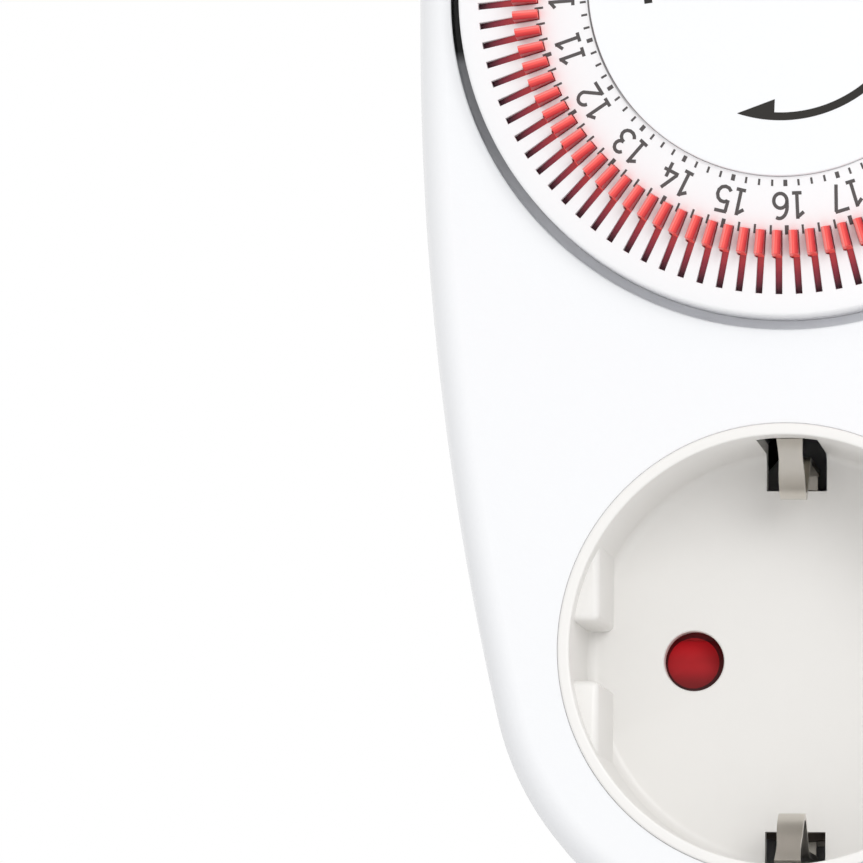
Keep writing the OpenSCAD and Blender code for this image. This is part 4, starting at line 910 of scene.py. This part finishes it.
# %% A blade and its head
BLADE_T, BLADE_IN, BLADE_PLAY = 0.58, 24.5, 0.05
BLADE_SUNK_IN, BLADE_SUNK_OUT, BLADE_FOOT = 0.1, 0.75, 3.4
STEP_OUT_Z, STEP_IN_Z, HEEL_IN, HEEL_Z = 54.4, 54.6, 23.6, 55.2
HEAD_IN, HEAD_OUT = 22.46, 24.7
HEAD_RISE_IN, HEAD_RISE_OUT, HEAD_DOWN = 1.2, 2.3, 2.2
HEAD_SIDES, HEAD_SLANT, HEAD_CORNER = (-0.55, 0.25), 0.26, 0.34
HEAD_EDGE, HEAD_Z = 0.07, 60.5
TAIL_IN, TAIL_OUT, TAIL_Z = 24.3, 26.3, 51.0


def slab(shape, corners, low, high):
    """A flat slab with a (radius, z) outline, between two sideways distances from its middle."""
    outline = line(shape, corners, 0, DIAL_Y)
    face = bmesh.ops.contextual_create(shape, geom=outline[len(corners):])["faces"]
    grown = bmesh.ops.extrude_face_region(shape, geom=face)["geom"]
    moved = [v for v in grown if isinstance(v, bmesh.types.BMVert)]
    bmesh.ops.translate(shape, verts=outline[:len(corners)], vec=(0, low, 0))
    bmesh.ops.translate(shape, verts=moved, vec=(0, high, 0))
    return outline[:len(corners)], moved


def shared_edge(one, other):
    """The edge between two vertices."""
    return next(edge for edge in one.link_edges if other in edge.verts)


def segment(shape):
    """A blade that fills its slot, and a head that rises outwards and leans to one side."""
    blade_out = SLOT_OUT - BLADE_PLAY
    blade = [(BLADE_IN, face_z(BLADE_IN) - BLADE_SUNK_IN), (blade_out, face_z(SLOT_OUT) - BLADE_SUNK_OUT),
             (blade_out, face_z(SLOT_OUT) - BLADE_FOOT), (TAIL_OUT, STEP_OUT_Z), (TAIL_OUT, TAIL_Z),
             (TAIL_IN, TAIL_Z), (TAIL_IN, STEP_IN_Z), (HEEL_IN, HEEL_Z)]
    slab(shape, blade, -BLADE_T / 2, BLADE_T / 2)
    low_side, high_side = slab(shape, [
        (HEAD_IN, face_z(HEAD_IN) - HEAD_DOWN), (HEAD_IN, face_z(HEAD_IN) + HEAD_RISE_IN),
        (HEAD_OUT, face_z(HEAD_OUT) + HEAD_RISE_OUT), (HEAD_OUT, face_z(HEAD_OUT) - HEAD_DOWN)], *HEAD_SIDES)
    low_side = [low_side[0], low_side[3]] + bevel(shape, [shared_edge(*low_side[1:3])], HEAD_SLANT)
    high_side = high_side[:2] + bevel(shape, [shared_edge(*high_side[2:])], HEAD_CORNER)
    edges = {e for v in low_side + high_side for e in v.link_edges if all(w.co.z > HEAD_Z for w in e.verts)}
    bevel(shape, list(edges), HEAD_EDGE, segments=2)


print(f"a head rises {HEAD_RISE_IN} to {HEAD_RISE_OUT} mm over the dial's face")

# %% [markdown]
# ## Twenty-four hours of segments
# Four segments make an hour, and each hour is a piece of its own because it moves by itself. One segment is
# turned to the start of its hour and repeated from there, so all of them are alike.

# %% The segments of every hour
for hour in range(HOURS):
    red = bmesh.new()
    segment(red)
    turn_about_dial(red, red.verts, hour_angle(hour) + SECTOR / 2)
    repeat_round(red, QUARTERS // HOURS, SECTOR)
    finish_piece(red, f"hour_{hour:02d}_segments", segment_red, f"hour_{hour:02d}",
                 [f"segments_{hour:02d}"], sharp=30)

# %% [markdown]
# ## The print on the dial
# The numbers 1 to 24 and the tick marks are printed ink. A text object would need a font of just this kind.
# But each digit is a few strokes of one width, so it is written down as the lines of its strokes, and a
# flat strip is bent along each line and given a thickness.

# %% Strokes of the digits
def bow(x, y, wide, tall, start, end, steps=9):
    """Points of an arc from one angle to another, in degrees."""
    angles = [math.radians(start + (end - start) * k / steps) for k in range(steps + 1)]
    return [(x + wide * math.cos(a), y + tall * math.sin(a)) for a in angles]


STROKE, DIGIT_GAP, DIGIT_SCALE = 0.31, 0.33, 1.05
DIGITS = {
    "0": [bow(0.55, 1.05, 0.55, 1.05, 90, 450, 24)],
    "1": [[(0, 2.18), (0, 0)], [(-0.54, 1.6), (0.02, 2.05)], [(-0.41, 0), (0.41, 0)]],
    "2": [bow(0.57, 1.5, 0.55, 0.6, 170, -20) + [(0.08, 0.05)], [(-0.07, 0), (1.24, 0)]],
    "3": [bow(0.5, 1.6, 0.48, 0.5, 155, -90), bow(0.5, 0.55, 0.6, 0.55, 90, -155)],
    "4": [[(0.84, 2.2), (0.02, 0.66)], [(-0.08, 0.6), (1.3, 0.6)], [(0.86, 1.2), (0.86, -0.12)]],
    "5": [[(1.12, 2.1), (0.06, 2.1)], [(0.16, 2.1), (0.1, 1.1)], bow(0.52, 0.66, 0.6, 0.66, 130, -150)],
    "6": [bow(0.7, 1.05, 0.7, 1.05, 65, 175) + bow(0.57, 0.62, 0.57, 0.62, 185, 540, 20)],
    "7": [[(-0.1, 2.1), (1.15, 2.1)], [(1.08, 2.08), (0.42, -0.12)]],
    "8": [bow(0.57, 1.58, 0.46, 0.52, -90, 270, 18), bow(0.57, 0.53, 0.57, 0.53, 90, 450, 20)],
    "9": [bow(0.57, 1.48, 0.57, 0.62, -10, 350, 20), bow(0.44, 1.05, 0.7, 1.05, 5, -115)],
}


def stroke(shape, points):
    """Bends a flat strip along a line of points, with a mitre at every bend."""
    made = bmesh.ops.create_grid(shape, x_segments=len(points) - 1, y_segments=1, size=0.5)["verts"]
    path = [Vector(point) * DIGIT_SCALE for point in points]
    ways = [(b - a).normalized() for a, b in zip(path, path[1:])]
    for vert in made:
        k = round((vert.co.x + 0.5) * (len(points) - 1))
        before, after = ways[max(0, k - 1)], ways[min(k, len(ways) - 1)]
        middle = (before + after).normalized()
        reach = STROKE / 2 / middle.dot(after) * (1 if vert.co.y > 0 else -1)
        vert.co = (path[k].x - middle.y * reach, path[k].y + middle.x * reach, 0)
    return made


glyphs = {}
for digit, lines in DIGITS.items():
    glyphs[digit] = bmesh.new()
    for points in lines:
        stroke(glyphs[digit], points)
    bmesh.ops.solidify(glyphs[digit], geom=glyphs[digit].faces[:], thickness=1)
print("digit strokes:", sum(len(lines) for lines in DIGITS.values()), "for", len(glyphs), "digits")

# %% [markdown]
# ## The numbers on the slope
# The digits are copied to their places, and each of their vertices is laid on the sloping face, a few
# hundredths of a millimetre proud, so that the print never flickers. The tops of the digits look outwards.

# %% The numbers
DIGIT_LOW, DIGIT_TURN = 18.95 + STROKE / 2, 0.6
INK_LIFT = 0.02


def ink_point(angle, along, across, lift):
    """A point of the print: its distance from the dial's axis, and to the right as read from outside."""
    out = Vector((math.cos(angle), math.sin(angle), 0))
    side = Vector((math.sin(angle), -math.cos(angle), 0))
    spot = out * along + side * across
    return DIAL_CENTRE + Vector((spot.x, spot.y, face_z(spot.length) + lift))


def print_number(shape, number, angle):
    """Lays the digits of a number on the dial, with their tops outwards."""
    widths = [[v.co.x for v in glyphs[digit].verts] for digit in number]
    spans = [(min(xs), max(xs)) for xs in widths]
    place = -(sum(high - low for low, high in spans) + DIGIT_GAP * (len(number) - 1)) / 2
    for digit, (low, high) in zip(number, spans):
        laid = bpy.data.meshes.new(digit)
        glyphs[digit].to_mesh(laid)
        middle = sum(v.co.z for v in laid.vertices) / len(laid.vertices)
        for v in laid.vertices:
            lift = INK_LIFT if v.co.z > middle else -INK_LIFT
            v.co = ink_point(angle, DIGIT_LOW + v.co.y, place + v.co.x - low, lift)
        shape.from_mesh(laid)
        place += high - low + DIGIT_GAP


ink = bmesh.new()
for number in range(1, HOURS + 1):
    print_number(ink, str(number), math.radians(hour_angle(number) + DIGIT_TURN))
print("ink for the numbers:", len(ink.faces), "faces")

# %% [markdown]
# ## The tick marks
# Two rings of ticks divide the hours into quarters, and every fourth tick is wider. A tick is a cube whose
# corners are laid on the slope in the same way as the digits.

# %% Tick marks
TICK_RINGS = ((17.92, 18.48), (21.93, 22.75))
TICK_W, HOUR_TICK_W = 0.2, 0.36
for quarter in range(QUARTERS):
    angle = math.radians(DIAL_SET + quarter * SECTOR)
    wide = HOUR_TICK_W if quarter % 4 == 0 else TICK_W
    for inner, outer in TICK_RINGS:
        middle, deep = (inner + outer) / 2, outer - inner
        made = bmesh.ops.create_cube(ink, size=1)["verts"]
        for v in made:
            v.co = ink_point(angle, middle + v.co.y * deep, v.co.x * wide, INK_LIFT * 2 * v.co.z)
finish_piece(ink, "dial_print", dial_ink, "dial")

# %% [markdown]
# ## The fixed cap
# The cap in the middle of the dial stands still. It is a turned disc with a rim that reaches down into the
# dial's bore, so that no light gets in beside it, and it carries the arrows that show which way the dial is
# turned.

# %% The hub cap
HUB_R, HUB_Z, HUB_LOW = 17.6, 62.68, 56
HUB_INNER_R, HUB_UNDER = 15.8, 60.2
hub = turned_piece(rounded([
    (0, HUB_Z, 0), (HUB_R - 0.4, HUB_Z, 0), (HUB_R, HUB_Z, 0.1), (HUB_R, HUB_LOW, 0.1),
    (HUB_INNER_R, HUB_LOW, 0.1), (HUB_INNER_R, HUB_UNDER, 0.2), (0, HUB_UNDER, 0)]), 0, DIAL_Y, steps=144)
finish_piece(hub, "hub_disc", gloss_white, "timer_housing", ["hub_cap"], sharp=30)

# %% [markdown]
# ## The arrows on the cap
# An arrow is a thin band that is spun round the middle of the cap. Its outer edge stays round, and its
# inner edge is then moved to the shape of an arrow: straight from the tip to the barb, and round from there
# on.

# %% The arrows
ARROW_IN, ARROW_OUT = 11.86, 12.58
ARROW_TIP, ARROW_TURN = -108.3, 116.7
BARB_TURN, BARB_R, BARB_EDGE = math.radians(15.2), 10.66, 0.002
ARROW_STEPS = ((BARB_TURN, 24), (BARB_EDGE, 1), (math.radians(ARROW_TURN) - BARB_TURN, 120))


def arrow_inside(along):
    """Distance of an arrow's inner edge from the middle of the cap."""
    if along > BARB_TURN + 0.0001:
        return ARROW_IN
    tip_r = ARROW_OUT - 0.05
    across = tip_r * math.sin(along) + BARB_R * math.sin(BARB_TURN - along)
    return tip_r * BARB_R * math.sin(BARB_TURN) / across


arrows = bmesh.new()
low, high = HUB_Z - INK_LIFT, HUB_Z + INK_LIFT
band = [(ARROW_IN, low), (ARROW_OUT, low), (ARROW_OUT, high), (ARROW_IN, high)]
for half_turn in (0, 180):
    before = set(arrows.verts)
    profile = line(arrows, band, 0, DIAL_Y)
    cap = bmesh.ops.contextual_create(arrows, geom=profile[4:])["faces"]
    for turn_part, steps in ARROW_STEPS:
        profile = bmesh.ops.spin(arrows, geom=profile + cap, cent=DIAL_CENTRE, axis=TURN_AXIS,
                                 angle=turn_part, steps=steps)["geom_last"]
        cap = []
    made = list(set(arrows.verts) - before)
    for v in made:
        spoke = v.co - DIAL_CENTRE
        along, reach = math.atan2(spoke.y, spoke.x), math.hypot(spoke.x, spoke.y)
        if reach < (ARROW_IN + ARROW_OUT) / 2:
            inside = arrow_inside(max(0, along))
            v.co.x = inside * math.cos(along)
            v.co.y = DIAL_Y + inside * math.sin(along)
    turn_about_dial(arrows, made, ARROW_TIP + half_turn)
finish_piece(arrows, "hub_print", hub_ink, "timer_housing")

# %% [markdown]
# ## The pieces that keep their CAD shape
# The pieces inside keep the frame's own meshes. Each gets the finish of its real material, so that an open
# housing would show brass, steel and coloured leads.

# %% Finishes for the CAD pieces
CAD_FINISHES = {
    inner_grey: ["movement_plate", "trip_lever"],
    carrier_brown: ["contact_carrier"],
    zinc: ["housing_screws", "plate_screws", "idler_axle", "trip_pivot", "shutter_spring"],
    nickel: ["plug_earth_strap", "earth_rivet"],
    brass: ["contact_live", "contact_neutral", "motor_pinion", "switch_terminals"],
    shutter_red: ["shutter", "switch_plunger"],
    gear_ivory: ["dial_gear", "idler_gear"],
    can_steel: ["motor_can"],
    switch_black: ["switch_case"],
    slide_red: ["override_slide"],
    brown_pvc: ["lead_live"],
    black_pvc: ["lead_switched"],
    blue_pvc: ["motor_leads"],
}
for material, names in CAD_FINISHES.items():
    for name in names:
        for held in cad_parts[name].material_slots:
            held.material = material
print("CAD pieces finished:", sum(len(names) for names in CAD_FINISHES.values()))

# %% [markdown]
# ## The floor
# The timer hangs over a pale floor, which is staged and isn't a part of the object. It is one large square
# a little below the timer, and its only task is to keep the timer's shadow.

# %% The floor
FLOOR_LEVEL, FLOOR_HALF = -0.055, 3
floor_shape = bmesh.new()
bmesh.ops.create_grid(floor_shape, x_segments=1, y_segments=1, size=FLOOR_HALF)
bmesh.ops.translate(floor_shape, verts=floor_shape.verts, vec=(0, 0, FLOOR_LEVEL))
floor_mesh = bpy.data.meshes.new("floor")
floor_shape.to_mesh(floor_mesh)
floor_shape.free()
pale_floor = finish("pale floor", (0.86, 0.86, 0.87), (0.88, 0.88, 0.88), 0.8, drift=2, grain_scale=300,
                    level=0.2)
floor_mesh.materials.append(pale_floor)
floor = bpy.data.objects.new("floor", floor_mesh)
scene.collection.objects.link(floor)
print("floor:", FLOOR_LEVEL, "m below the socket's middle")

# %% [markdown]
# ## The light
# An even white surrounding lights the timer from all sides, and one soft lamp at the right gives its forms
# a bright and a shaded side. The surrounding is plain white where the camera or a reflection sees it, and a
# little weaker as a light, so that the white plastic keeps its tones.

# %% The light
WORLD_LIGHT = 0.86
LAMP_AT, LAMP_AIM = Vector((0.38, -0.98, 0.33)), Vector((0, -0.05, 0.03))
LAMP_SIZE, LAMP_POWER = 0.45, 3.0
world = bpy.data.worlds.new("white surrounding")
scene.world = world
world.use_nodes = True
nodes, links = world.node_tree.nodes, world.node_tree.links
path = add_node(nodes, "ShaderNodeLightPath")
seen = path.outputs["Is Camera Ray"]
for ray in ("Is Glossy Ray", "Is Transmission Ray"):
    either = add_node(nodes, "ShaderNodeMath", operation="MAXIMUM")
    links.new(seen, either.inputs[0])
    links.new(path.outputs[ray], either.inputs[1])
    seen = either.outputs[0]
strength = add_node(nodes, "ShaderNodeMix", data_type="FLOAT")
strength.inputs[2].default_value = WORLD_LIGHT
strength.inputs[3].default_value = 1.0
links.new(seen, strength.inputs[0])
nodes["Background"].inputs["Color"].default_value = (1, 1, 1, 1)
links.new(strength.outputs[0], nodes["Background"].inputs["Strength"])
lamp_data = bpy.data.lights.new("key lamp", "AREA")
lamp_data.size = LAMP_SIZE
lamp_data.energy = LAMP_POWER
lamp = bpy.data.objects.new("key lamp", lamp_data)
lamp.location = LAMP_AT
lamp.rotation_mode = "QUATERNION"
lamp.rotation_quaternion = (LAMP_AIM - LAMP_AT).to_track_quat("-Z", "Y")
scene.collection.objects.link(lamp)
print(f"key lamp: {LAMP_POWER} W from {(LAMP_AIM - LAMP_AT).length:.2f} m")

# %% [markdown]
# ## The camera
# A long lens from about 0.7 m looks a little upwards at the lower left of the front, so the dial and the
# socket are both cut by the edge of the view. Depth of field and shift stay off, so that other views work
# as well.

# %% The camera
CAMERA_AT = Vector((0.0459713, -0.7462626, -0.0448634))
LOOKING_AT = Vector((-0.0322909, -0.056, 0.0198552))
CAMERA_TILT = 0.5134
SENSOR_WIDTH, LENS = 36, 318.58
CLIP_NEAR, CLIP_FAR = 0.01, 20
camera_data = bpy.data.cameras.new("camera")
camera_data.sensor_width = SENSOR_WIDTH
camera_data.lens = LENS
camera_data.clip_start = CLIP_NEAR
camera_data.clip_end = CLIP_FAR
camera = bpy.data.objects.new("camera", camera_data)
camera.rotation_mode = "QUATERNION"
camera.location = CAMERA_AT
tilt = Matrix.Rotation(math.radians(CAMERA_TILT), 4, "Z").to_quaternion()
camera.rotation_quaternion = (LOOKING_AT - CAMERA_AT).to_track_quat("-Z", "Y") @ tilt
scene.collection.objects.link(camera)
scene.camera = camera
scene.view_settings.view_transform = "Standard"
print(f"camera: {LENS} mm lens, {(LOOKING_AT - CAMERA_AT).length:.3f} m from the front")
